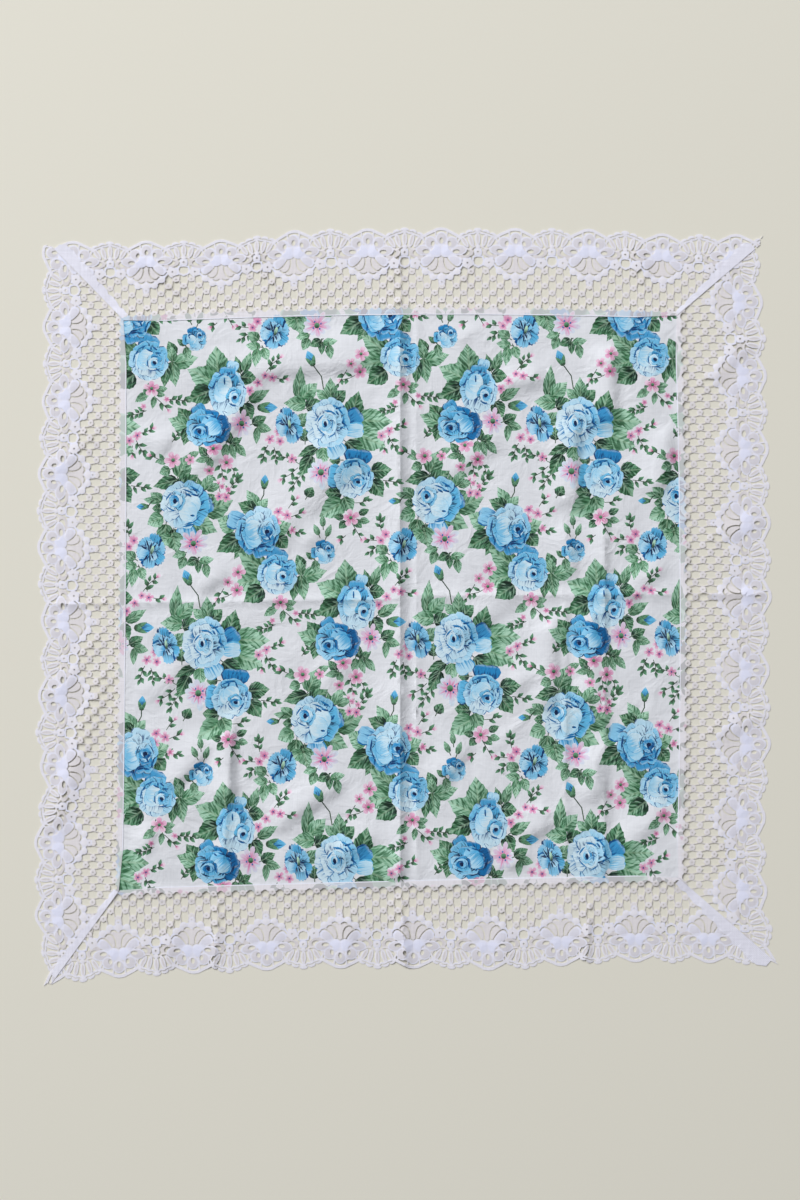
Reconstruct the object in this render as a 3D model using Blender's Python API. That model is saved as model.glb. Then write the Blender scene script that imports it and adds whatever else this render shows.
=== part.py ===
"""Lace scarf: a square printed cotton panel with a strip of scalloped lace sewn along each side.

The scarf lies face up. The four strips are mitred at the corners, and the cloth keeps the creases
that it was folded with. Metres, +Z up, +X to the right and +Y to the top edge of the scarf.
"""

import math
from collections import namedtuple

import bmesh
import bpy
from mathutils import Vector
from mathutils.geometry import delaunay_2d_cdt

# Cloth
PANEL_THICKNESS = 0.0010
HEM_THICKNESS = 0.0013
HEM_WIDTH = 0.0070
HEM_STEP = 0.0010  # the width over which the turned hem ends
LACE_THICKNESS = 0.0010
SEWN_GAP = 0.0005  # between the hem and the lace that lies on it
PANEL_INSET = 0.0006  # from the heading's outer edge to the panel's edge

# Lace, measured outwards from the heading's outer edge
HEADING = 0.0052  # the straight band that is stitched to the panel
LACE_DEPTH = 0.0770
LACE_REPEAT = 0.0700  # from one fan to the next
SCALLOP = LACE_REPEAT / 2
SCALLOP_RISE = 0.0062
SCALLOP_STEPS = 6
DROP_WIDTH = 0.0120  # over which the lace comes down from the hem to the surface
CENTRE = Vector((0.00044, -0.00207))  # of the outline, which is drawn from the panel's middle

# Openings of the net, and the six-sided eye between two fans. Each row of the net has its distance
# from the heading, its shift in pitches, and the columns of each repeat that the fan leaves free.
NET_PITCH = LACE_REPEAT / 3
NET_HALF_LENGTH = 0.0090
NET_HALF_DEPTH = 0.0068
NetRow = namedtuple("NetRow", "out shift columns")
NET_ROWS = (
    NetRow(0.0086, 0.5, (-1, 0, 1)),
    NetRow(0.0223, 0.0, (-1, 0, 1)),
    NetRow(0.0360, 0.5, (1,)),
)
EYE_OUT = 0.0475
EYE_RADIUS = 0.0034
EYE_SIDES = 6

# Mitres
MITRE_GAP = 0.0003
ALLOWANCE_WIDTH = 0.0085
ALLOWANCE_RISE = 0.0009
ALLOWANCE_STEP = 0.0010
CLEAR_OF_MITRE = 0.0035  # cloth left between a mitre and an opening

# Meshes
PANEL_SPACING = 0.0240
LACE_SPACING = 0.0140
EDGE_SPACING = 0.0200
BEND_ROWS = (0.0, 0.0500, 0.0560, 0.0660)  # rows of points that let a strip bend
CLOSEST = 0.0030  # between two points inside a strip
SHORTEST_EDGE = 0.0005
FINEST = 1e-7
OVERRUN = 0.1200  # how far a strip's edges run past its corners before the mitres cut them

# seam: where the strips leave the panel. tip: the outer end of the mitre.
Corner = namedtuple("Corner", "seam tip")
TOP_LEFT = Corner(Vector((-0.2703, 0.2762)), Vector((-0.3377, 0.3453)))
TOP_RIGHT = Corner(Vector((0.2603, 0.2803)), Vector((0.3368, 0.3453)))
BOTTOM_RIGHT = Corner(Vector((0.2621, -0.2579)), Vector((0.3529, -0.3368)))
BOTTOM_LEFT = Corner(Vector((-0.2739, -0.2709)), Vector((-0.3358, -0.3558)))

# Each side runs clockwise from start to end. bow: how far its middle stands out. first_fan: from the
# start to the first whole fan. allowance: at which ends the mitre's turnings lie on this strip.
# reach: rows of distance from the start, and the lace's depth there.
Side = namedtuple("Side", "name start end bow first_fan allowance reach")
SIDES = (
    Side("top", TOP_LEFT, TOP_RIGHT, 0.0058, 0.0247, ("start", "end"), (
        (-0.060, 0.072), (0.020, 0.071), (0.095, 0.069), (0.180, 0.076),
        (0.300, 0.076), (0.440, 0.077), (0.520, 0.074), (0.620, 0.073),
    )),
    Side("right", TOP_RIGHT, BOTTOM_RIGHT, 0.0043, -0.0108, (), (
        (-0.060, 0.075), (0.040, 0.080), (0.150, 0.080), (0.270, 0.081),
        (0.310, 0.078), (0.400, 0.081), (0.480, 0.077), (0.550, 0.080), (0.620, 0.089),
    )),
    Side("bottom", BOTTOM_RIGHT, BOTTOM_LEFT, -0.0008, -0.0243, ("start",), (
        (-0.090, 0.081), (-0.010, 0.078), (0.060, 0.076), (0.180, 0.081),
        (0.250, 0.077), (0.340, 0.075), (0.470, 0.077), (0.540, 0.079), (0.600, 0.084),
    )),
    Side("left", BOTTOM_LEFT, TOP_LEFT, -0.0011, -0.0220, ("start",), (
        (-0.075, 0.068), (-0.020, 0.077), (0.060, 0.078), (0.105, 0.072), (0.150, 0.078),
        (0.245, 0.073), (0.310, 0.078), (0.400, 0.078), (0.485, 0.073), (0.620, 0.074),
    )),
)

# Creases and ripples of the lying cloth. left and right: how far each one slopes down to either
# side, looking from start to end. sharp: pressed, with a crest like a roof's.
Crease = namedtuple("Crease", "start end height left right sharp")
CREASES = (
    # the folds of the stored scarf, upright ones first
    Crease((-0.0033, -0.268), (-0.0033, 0.352), 0.0024, 0.030, 0.006, True),
    Crease((0.0133, -0.275), (0.0133, 0.288), 0.0012, 0.007, 0.014, True),
    Crease((0.0010, -0.352), (-0.0033, -0.262), 0.0020, 0.020, 0.008, True),
    Crease((-0.1750, -0.262), (-0.1620, -0.095), 0.0016, 0.014, 0.008, True),
    Crease((-0.1830, -0.352), (-0.1760, -0.262), 0.0014, 0.012, 0.010, True),
    Crease((0.1886, -0.262), (0.1886, 0.095), 0.0018, 0.018, 0.007, True),
    Crease((0.1705, -0.350), (0.1760, -0.268), 0.0016, 0.014, 0.008, True),
    Crease((0.1515, -0.250), (0.1520, 0.012), 0.0009, 0.009, 0.006, True),
    Crease((-0.2260, 0.238), (-0.0290, 0.243), 0.0016, 0.030, 0.020, False),
    Crease((-0.2260, 0.205), (-0.0290, 0.211), 0.0008, 0.011, 0.025, False),
    Crease((-0.3450, 0.004), (-0.0050, 0.009), 0.0010, 0.010, 0.008, True),
    Crease((0.0050, 0.012), (0.3480, 0.014), 0.0013, 0.010, 0.010, True),
    Crease((-0.1460, -0.208), (-0.0910, -0.209), 0.0009, 0.010, 0.008, True),
    Crease((-0.0030, -0.213), (0.0590, -0.212), 0.0009, 0.008, 0.010, True),
    Crease((0.0950, -0.194), (0.1510, -0.193), 0.0010, 0.008, 0.010, True),
    # slanting wrinkles of the panel
    Crease((0.0400, 0.248), (0.0810, 0.274), 0.0010, 0.009, 0.008, False),
    Crease((0.0700, -0.143), (0.1170, -0.101), 0.0012, 0.010, 0.010, False),
    Crease((0.0750, -0.252), (0.0700, -0.143), 0.0008, 0.010, 0.010, False),
    Crease((0.2320, -0.113), (0.2370, -0.040), 0.0008, 0.010, 0.010, False),
    Crease((-0.2330, 0.112), (-0.1520, 0.160), 0.0010, 0.012, 0.012, False),
    # ripples of the lace
    Crease((-0.3380, -0.220), (-0.2800, -0.050), 0.0022, 0.016, 0.016, False),
    Crease((-0.3450, -0.095), (-0.2850, -0.020), 0.0014, 0.014, 0.014, False),
    Crease((-0.3450, 0.120), (-0.2850, 0.175), 0.0016, 0.015, 0.015, False),
    Crease((-0.2620, 0.345), (-0.2050, 0.290), 0.0018, 0.014, 0.014, False),
    Crease((-0.1500, 0.350), (-0.1200, 0.292), 0.0014, 0.013, 0.013, False),
    Crease((0.0600, 0.355), (0.0550, 0.298), 0.0012, 0.014, 0.014, False),
    Crease((0.2150, 0.355), (0.2300, 0.292), 0.0014, 0.014, 0.014, False),
    Crease((0.2750, 0.205), (0.3350, 0.262), 0.0020, 0.016, 0.016, False),
    Crease((0.2780, 0.060), (0.3450, 0.090), 0.0016, 0.015, 0.015, False),
    Crease((0.2780, -0.125), (0.3450, -0.100), 0.0014, 0.014, 0.014, False),
    Crease((0.0950, -0.345), (0.0900, -0.272), 0.0012, 0.014, 0.014, False),
    Crease((-0.0600, -0.345), (-0.0500, -0.278), 0.0014, 0.014, 0.014, False),
    Crease((-0.2300, -0.350), (-0.2150, -0.285), 0.0016, 0.014, 0.014, False),
)
CREASE_END = 0.020  # over which a crease dies out at its ends
SEAM_HOLD = 0.25  # the share of a crease's height that is left under the sewn heading
SEAM_HOLD_WIDTH = 0.014

# Lines of the panel's mesh at the crests and feet of the creases
CREASE_LINES_X = (-0.175, -0.165, -0.154, -0.030, -0.012, -0.0033, 0.003, 0.0133, 0.022,
                  0.143, 0.1515, 0.158, 0.178, 0.1886, 0.196)
CREASE_LINES_Y = (-0.2175, -0.2105, -0.202, -0.194, -0.185, 0.001, 0.0105, 0.021,
                  0.195, 0.208, 0.221, 0.240, 0.258)


def ease(x):
    """0 to 1, level at both ends."""
    x = min(max(x, 0.0), 1.0)
    return x * x * (3 - 2 * x)


def crease_height(crease, point):
    """How high one crease lifts the cloth at a point."""
    start = Vector(crease.start)
    along = Vector(crease.end) - start
    length = along.length
    along /= length
    offset = point - start
    travelled = offset.dot(along)
    if travelled <= 0 or travelled >= length:
        return 0.0
    aside = along.cross(offset)  # positive on the left
    slope = 1 - abs(aside) / (crease.left if aside > 0 else crease.right)
    if slope <= 0:
        return 0.0
    crest = slope ** 1.7 if crease.sharp else ease(slope)
    ends = ease(min(travelled, length - travelled) / min(CREASE_END, length / 2))
    return crease.height * crest * ends


def cloth_height(point, from_seam):
    """The height of the cloth's underside, where from_seam is the distance to the heading."""
    hold = SEAM_HOLD + (1 - SEAM_HOLD) * ease(from_seam / SEAM_HOLD_WIDTH)
    return hold * sum(crease_height(crease, point) for crease in CREASES)


def outward(side):
    """The unit vector that points from the panel across the strip."""
    along = (side.end.seam - side.start.seam).normalized()
    return Vector((-along.y, along.x))


def seam_point(side, along):
    """A point on the heading's outer edge, which carries on straight past the corners."""
    run = side.end.seam - side.start.seam
    share = along / run.length
    bow = side.bow * 4 * max(share * (1 - share), 0.0)
    return side.start.seam + run * share + outward(side) * bow


def reach(side, along):
    """The depth of the lace at a distance along its side."""
    rows = side.reach
    if along <= rows[0][0]:
        return rows[0][1]
    for (left, low), (right, high) in zip(rows, rows[1:]):
        if along <= right:
            return low + (high - low) * ease((along - left) / (right - left))
    return rows[-1][1]


def lace_point(side, along, out):
    """A place on the strip: along its side, and out from the heading at the lace's plain depth."""
    stretch = reach(side, along) / LACE_DEPTH if out > 0 else 1.0
    return seam_point(side, along) + outward(side) * out * stretch


def out_of(side, point):
    """How far out from the heading a point lies."""
    run = (side.end.seam - side.start.seam).normalized()
    along = (point - side.start.seam).dot(run)
    return (point - seam_point(side, along)).dot(outward(side))


class Mitre:
    """One end of a strip: the seam's line, and the distance to it on the strip's side."""

    def __init__(self, corner, into_strip):
        self.corner = corner
        self.line = (corner.tip - corner.seam).normalized()
        self.inward = Vector((-self.line.y, self.line.x))
        if self.inward.dot(into_strip) < 0:
            self.inward.negate()

    def distance(self, point):
        return (point - self.corner.seam).dot(self.inward)

    def point(self, along, inside):
        return self.corner.seam + self.line * along + self.inward * inside


def clipped(points, mitres):
    """The stretch of a line of points that lies between the mitres, half their gap away."""
    for mitre in mitres:
        kept = []
        depths = [mitre.distance(point) - MITRE_GAP / 2 for point in points]
        for here, there, a, b in zip(points, points[1:], depths, depths[1:]):
            if a >= 0:
                kept.append(here)
            if (a > 0) != (b > 0):
                kept.append(here.lerp(there, a / (a - b)))
        if depths[-1] >= 0:
            kept.append(points[-1])
        points = kept
    return without_short_steps(points)


def without_short_steps(points):
    """Drops a point that nearly meets the end of its line."""
    if (points[1] - points[0]).length < SHORTEST_EDGE:
        points = points[:1] + points[2:]
    if (points[-1] - points[-2]).length < SHORTEST_EDGE:
        points = points[:-2] + points[-1:]
    return points


def steps(low, high, spacing):
    """Even steps of about the spacing, both ends included."""
    count = max(1, math.ceil((high - low) / spacing))
    return [low + (high - low) * k / count for k in range(count + 1)]


def repeats(side, length, pitch):
    """The middles of what repeats along the strip, its overrun included."""
    first = math.floor((-OVERRUN - side.first_fan) / pitch)
    last = math.ceil((length + OVERRUN - side.first_fan) / pitch)
    return [side.first_fan + k * pitch for k in range(first, last + 1)]


def scallop_edge(side, length):
    """The outer edge: two round scallops to each fan."""
    points = []
    for middle in repeats(side, length, SCALLOP):
        for step in range(SCALLOP_STEPS):
            share = step / SCALLOP_STEPS * 2 - 1
            along = middle + share * SCALLOP / 2
            rise = SCALLOP_RISE * math.sqrt(1 - share * share)
            points.append(lace_point(side, along, LACE_DEPTH - SCALLOP_RISE + rise))
    return points


def net_openings(side, length):
    """The openings of the net and the eye of each repeat, as rings of points."""
    diamond = ((-1, 0), (0, -1), (1, 0), (0, 1))
    eye = [(math.cos(math.tau * k / EYE_SIDES), math.sin(math.tau * k / EYE_SIDES))
           for k in range(EYE_SIDES)]
    openings = []
    for fan in repeats(side, length, LACE_REPEAT):
        for row in NET_ROWS:
            for column in row.columns:
                middle = fan + (column + row.shift) * NET_PITCH
                openings.append([
                    lace_point(side, middle + a * NET_HALF_LENGTH, row.out + b * NET_HALF_DEPTH)
                    for a, b in diamond
                ])
        middle = fan + LACE_REPEAT / 2
        openings.append([
            lace_point(side, middle + a * EYE_RADIUS, EYE_OUT + b * EYE_RADIUS) for a, b in eye
        ])
    return openings


def add_object(name, bm, material):
    mesh = bpy.data.meshes.new(name)
    bm.to_mesh(mesh)
    bm.free()
    mesh.materials.append(material)
    obj = bpy.data.objects.new(name, mesh)
    obj.location.xy = -CENTRE
    bpy.context.scene.collection.objects.link(obj)


def make_material(name, colour, roughness):
    material = bpy.data.materials.new(name)
    material.use_nodes = True
    shader = material.node_tree.nodes["Principled BSDF"]
    shader.inputs["Base Color"].default_value = (*colour, 1)
    shader.inputs["Roughness"].default_value = roughness
    shader.inputs["Metallic"].default_value = 0.0
    return material


def thicken(bm, underside, topside):
    """Lays a flat sheet on its heights and extrudes it upwards into a closed solid.

    underside and topside give the two heights at a point.
    """
    made = bmesh.ops.extrude_face_region(bm, geom=bm.faces[:])
    raised = {item for item in made["geom"] if isinstance(item, bmesh.types.BMVert)}
    for vert in bm.verts:
        height = topside if vert in raised else underside
        vert.co.z = height(vert.co.xy)
    bmesh.ops.triangulate(bm, faces=bm.faces[:])
    bmesh.ops.recalc_face_normals(bm, faces=bm.faces[:])


def panel_shares(low, high, creases):
    """The mesh lines, as shares of the span: the hem's, the creases' and even steps between."""
    hem = (HEM_WIDTH, HEM_WIDTH + HEM_STEP)
    marks = [low, *(low + h for h in hem), *creases, *(high - h for h in reversed(hem)), high]
    lines = []
    for left, right in zip(marks, marks[1:]):
        lines += steps(left, right, PANEL_SPACING)[:-1]
    return [(line - low) / (high - low) for line in lines + [high]]


def make_panel(material):
    """The printed square, in one piece, with its hem."""
    top, right, bottom, left = SIDES
    bottom_left = BOTTOM_LEFT.seam + Vector((PANEL_INSET, PANEL_INSET))
    bottom_right = BOTTOM_RIGHT.seam + Vector((-PANEL_INSET, PANEL_INSET))
    top_left = TOP_LEFT.seam + Vector((PANEL_INSET, -PANEL_INSET))
    top_right = TOP_RIGHT.seam + Vector((-PANEL_INSET, -PANEL_INSET))
    low = Vector((bottom_left.x + top_left.x, bottom_left.y + bottom_right.y)) / 2
    high = Vector((bottom_right.x + top_right.x, top_left.y + top_right.y)) / 2
    width, depth = high - low
    columns = panel_shares(low.x, high.x, CREASE_LINES_X)
    rows = panel_shares(low.y, high.y, CREASE_LINES_Y)

    def place(s, t):
        """A place on the panel from its shares of the width and the depth."""
        spot = bottom_left.lerp(bottom_right, s).lerp(top_left.lerp(top_right, s), t)
        spot.y += 4 * s * (1 - s) * (top.bow * t - bottom.bow * (1 - t))
        spot.x += 4 * t * (1 - t) * (right.bow * s - left.bow * (1 - s))
        return spot

    bm = bmesh.new()
    bmesh.ops.create_grid(bm, x_segments=len(columns) - 1, y_segments=len(rows) - 1, size=1.0)
    shares = {}
    for vert in bm.verts:
        s = columns[round((vert.co.x + 1) / 2 * (len(columns) - 1))]
        t = rows[round((vert.co.y + 1) / 2 * (len(rows) - 1))]
        vert.co.xy = place(s, t)
        shares[vert.co.xy.copy().freeze()] = (s, t)

    def edge_distance(point):
        s, t = shares[point.copy().freeze()]
        return min(min(s, 1 - s) * width, min(t, 1 - t) * depth)

    def underside(point):
        return cloth_height(point, max(edge_distance(point) - HEADING, 0.0))

    def topside(point):
        turned = 1 - ease((edge_distance(point) - HEM_WIDTH - HEM_STEP / 4) / (HEM_STEP / 2))
        thickness = PANEL_THICKNESS + (HEM_THICKNESS - PANEL_THICKNESS) * turned
        return underside(point) + thickness

    thicken(bm, underside, topside)
    add_object("panel", bm, material)


def strip_outline(side, length, mitres):
    """The strip's outline: heading, far mitre, scalloped edge and near mitre, in turn."""
    inner = [lace_point(side, along, -HEADING)
             for along in steps(-EDGE_SPACING, length + EDGE_SPACING, EDGE_SPACING)]
    inner = clipped(inner, mitres)
    outer = clipped(scallop_edge(side, length), mitres)
    outer.reverse()
    outline = []
    for line, following in ((inner, outer), (outer, inner)):
        outline += line
        gap = following[0] - line[-1]
        parts = steps(0.0, 1.0, LACE_SPACING / gap.length)
        outline += [line[-1] + gap * share for share in parts[1:-1]]
    return outline


def allowance_lines(side, mitres):
    """Two lines along each mitre whose turnings lie on this strip: the band's edge and its foot."""
    lines = []
    for end, mitre in zip(("start", "end"), mitres):
        if end not in side.allowance:
            continue
        length = (mitre.corner.tip - mitre.corner.seam).length
        for inside in (ALLOWANCE_WIDTH, ALLOWANCE_WIDTH + ALLOWANCE_STEP):
            ends = (inside * 1.2, length - 3 * inside / 2)
            lines.append([mitre.point(along, inside) for along in steps(*ends, LACE_SPACING)])
    return lines


def make_strip(side, material):
    """One strip of lace with its openings, cut to its mitres."""
    run = side.end.seam - side.start.seam
    length = run.length
    mitres = (Mitre(side.start, run), Mitre(side.end, -run))
    banded = [end in side.allowance for end in ("start", "end")]
    clear = [CLEAR_OF_MITRE + (ALLOWANCE_WIDTH + ALLOWANCE_STEP if band else 0) for band in banded]

    def inside(point):
        return all(mitre.distance(point) > gap for mitre, gap in zip(mitres, clear))

    outline = strip_outline(side, length, mitres)
    openings = [o for o in net_openings(side, length) if all(inside(p) for p in o)]
    lines = allowance_lines(side, mitres)
    points = outline + [p for shape in openings + lines for p in shape]
    loops, edges, first = [], [], len(outline)
    for opening in openings:
        loops.append(list(range(first, first + len(opening))))
        first += len(opening)
    for line in lines:
        edges += [(k, k + 1) for k in range(first, first + len(line) - 1)]
        first += len(line)
    for along in steps(-OVERRUN / 2, length + OVERRUN / 2, LACE_SPACING):
        for out in BEND_ROWS:
            point = lace_point(side, along, out)
            if inside(point) and all((point - p).length > CLOSEST for p in points):
                points.append(point)

    made = delaunay_2d_cdt(points, edges, [list(range(len(outline)))] + loops, 1, FINEST)
    spots, triangles, sources = made[0], made[2], made[5]
    bm = bmesh.new()
    verts = {}
    for triangle, source in zip(triangles, sources):
        if source != [0]:
            continue  # an opening, or outside the strip
        for index in triangle:
            if index not in verts:
                verts[index] = bm.verts.new((*spots[index], 0))
        bm.faces.new([verts[index] for index in triangle])

    def underside(point):
        out = out_of(side, point)
        lifted = HEM_THICKNESS + SEWN_GAP
        return cloth_height(point, max(out, 0.0)) + lifted * (1 - ease(out / DROP_WIDTH))

    def topside(point):
        height = underside(point) + LACE_THICKNESS
        for mitre, band in zip(mitres, banded):
            past = mitre.distance(point) - ALLOWANCE_WIDTH
            if band:
                height += ALLOWANCE_RISE * (1 - ease((past / ALLOWANCE_STEP - 0.25) * 2))
        return height

    thicken(bm, underside, topside)
    add_object("lace_" + side.name, bm, material)


def build():
    for obj in list(bpy.data.objects):
        bpy.data.objects.remove(obj)
    cotton = make_material("printed_cotton", (0.80, 0.84, 0.88), 0.85)
    lace = make_material("white_lace", (0.86, 0.85, 0.90), 0.70)
    make_panel(cotton)
    for side in SIDES:
        make_strip(side, lace)


build()
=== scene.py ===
"""Lace scarf: a printed cotton square edged with four mitred strips of scalloped lace, lying flat.

Metres, +Z up, +X to the right and +Y to the top edge. Every form of the print and of the lace is an
outline that is cut into the cloth's own mesh, so the lace has real openings and the print lies on
the folds of the cloth.
"""

import math
import random
from collections import namedtuple

import bmesh
import bpy
import numpy as np
from mathutils import Matrix, Vector, noise
from mathutils.bvhtree import BVHTree
from mathutils.geometry import delaunay_2d_cdt
from mathutils.kdtree import KDTree


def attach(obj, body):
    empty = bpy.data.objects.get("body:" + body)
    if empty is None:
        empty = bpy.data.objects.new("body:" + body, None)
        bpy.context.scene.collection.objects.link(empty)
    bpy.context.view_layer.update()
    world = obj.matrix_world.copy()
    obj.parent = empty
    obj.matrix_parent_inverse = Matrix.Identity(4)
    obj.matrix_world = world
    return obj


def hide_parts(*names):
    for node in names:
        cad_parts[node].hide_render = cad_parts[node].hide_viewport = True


bl_info = {
    "name": "Lace Scarf",
    "version": (1, 0, 0),
    "blender": (4, 5, 0),
    "location": "3D View > Sidebar > Scarf",
    "description": "Makes a printed cotton scarf with mitred lace edging, and the stage it lies on",
    "category": "Add Mesh",
}

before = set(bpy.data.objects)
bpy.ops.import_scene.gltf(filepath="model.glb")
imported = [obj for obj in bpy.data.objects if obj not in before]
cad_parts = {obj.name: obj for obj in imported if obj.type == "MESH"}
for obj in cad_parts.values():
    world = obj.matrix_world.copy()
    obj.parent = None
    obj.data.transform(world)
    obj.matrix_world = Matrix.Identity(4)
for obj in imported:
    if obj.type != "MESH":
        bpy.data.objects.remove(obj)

# Cloth sizes of the CAD model
PANEL_THICKNESS = 0.0010
HEM_THICKNESS = 0.0013
HEM_WIDTH = 0.0070
PANEL_INSET = 0.0006
HEADING = 0.0052
LACE_DEPTH = 0.0770
LACE_REPEAT = 0.0700
DROP_WIDTH = 0.0120
CENTRE = Vector((0.00044, -0.00207))  # of the outline, which is drawn from the panel's middle

# Making the strips
MITRE_GAP = 0.0003
OVERRUN = 0.1200  # how far a strip is charted past its corners
MITRE_TRIM = 0.0120  # how far past a mitre a form may reach and still be drawn
RAIL_STEPS, TURNING_STEPS = 60, 28
TURNING_PLIES = 1.9  # thickness of a mitre's turnings, in thicknesses of the lace
SWELL = 0.6  # share of its drawn rise that a form keeps
SHOW_THROUGH = 0.36  # of the print through the heading
LOOSE_WIDTH, LOOSE_END = 0.0200, 0.0660  # the lace waves from the heading to the scallops
LACE_WAVES = 32  # to a metre

# Making the panel
RIM_STEPS, CREST_STEPS = 60, 40
CREST_WIDTH = 0.0009
EDGE_CLEAR = 0.0040  # between the panel's edge and the crests that the mesh follows
GRID_ACROSS = 0.5400  # divided by the grid, the number of loose points in a row
HEM_STEP = 0.0006
RIM_REACH = 0.0120  # everything nearer to an edge is turned in under it
HEM_FOLDS = ((0.0008, 0.0), (0.0001, HEM_WIDTH))  # down, and then down and in
CRUMPLES = ((55, 0.0005), (24, 0.0014))  # how many to a metre, and how high
CRUMPLE_START, CRUMPLE_LIFT = 0.0300, 0.0010
PANEL_LOW, PANEL_HIGH = Vector((-0.277, -0.272)), Vector((0.269, 0.289))
PRINT_REACH = 0.0300  # a motif may start this far outside the panel

# Sheets, stage and mesh
HALF_VIEW = 0.57  # metres of floor from the middle of the picture to its upper and lower edge
FINEST = 1e-7
NOISE_SEED, PRINT_SEED, GRID_SEED = 5, 7, 3
SPOT_SPACE = 0.0007  # between a loose point of the mesh and the drawn lines

# seam: where the strips leave the panel. tip: the outer end of the mitre.
Corner = namedtuple("Corner", "seam tip")
TOP_LEFT = Corner(Vector((-0.2703, 0.2762)), Vector((-0.3377, 0.3453)))
TOP_RIGHT = Corner(Vector((0.2603, 0.2803)), Vector((0.3368, 0.3453)))
BOTTOM_RIGHT = Corner(Vector((0.2621, -0.2579)), Vector((0.3529, -0.3368)))
BOTTOM_LEFT = Corner(Vector((-0.2739, -0.2709)), Vector((-0.3358, -0.3558)))

# Each side runs clockwise from start to end. bow: how far its middle stands out. first_fan: from the
# start to the first whole fan. turnings: the width at the seam and at the tip of the mitre's turnings
# that lie on this strip, at its start and at its end. reach: distances and the lace's depth there.
Side = namedtuple("Side", "name start end bow first_fan turnings reach")
SIDES = (
    Side("top", TOP_LEFT, TOP_RIGHT, 0.0058, 0.0247, ((0.0065, 0.0125), (0.0036, 0.0125)), (
        (-0.060, 0.072), (0.020, 0.071), (0.095, 0.069), (0.180, 0.076),
        (0.300, 0.076), (0.440, 0.077), (0.520, 0.074), (0.620, 0.073),
    )),
    Side("right", TOP_RIGHT, BOTTOM_RIGHT, 0.0043, -0.0108, (None, None), (
        (-0.060, 0.075), (0.040, 0.080), (0.150, 0.080), (0.270, 0.081),
        (0.310, 0.078), (0.400, 0.081), (0.480, 0.077), (0.550, 0.080), (0.620, 0.089),
    )),
    Side("bottom", BOTTOM_RIGHT, BOTTOM_LEFT, -0.0008, -0.0243, ((0.0062, 0.0160), None), (
        (-0.090, 0.081), (-0.010, 0.078), (0.060, 0.076), (0.180, 0.081),
        (0.250, 0.077), (0.340, 0.075), (0.470, 0.077), (0.540, 0.079), (0.600, 0.084),
    )),
    Side("left", BOTTOM_LEFT, TOP_LEFT, -0.0011, -0.0220, ((0.0050, 0.0078), None), (
        (-0.075, 0.068), (-0.020, 0.077), (0.060, 0.078), (0.105, 0.072), (0.150, 0.078),
        (0.245, 0.073), (0.310, 0.078), (0.400, 0.078), (0.485, 0.073), (0.620, 0.074),
    )),
)

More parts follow.
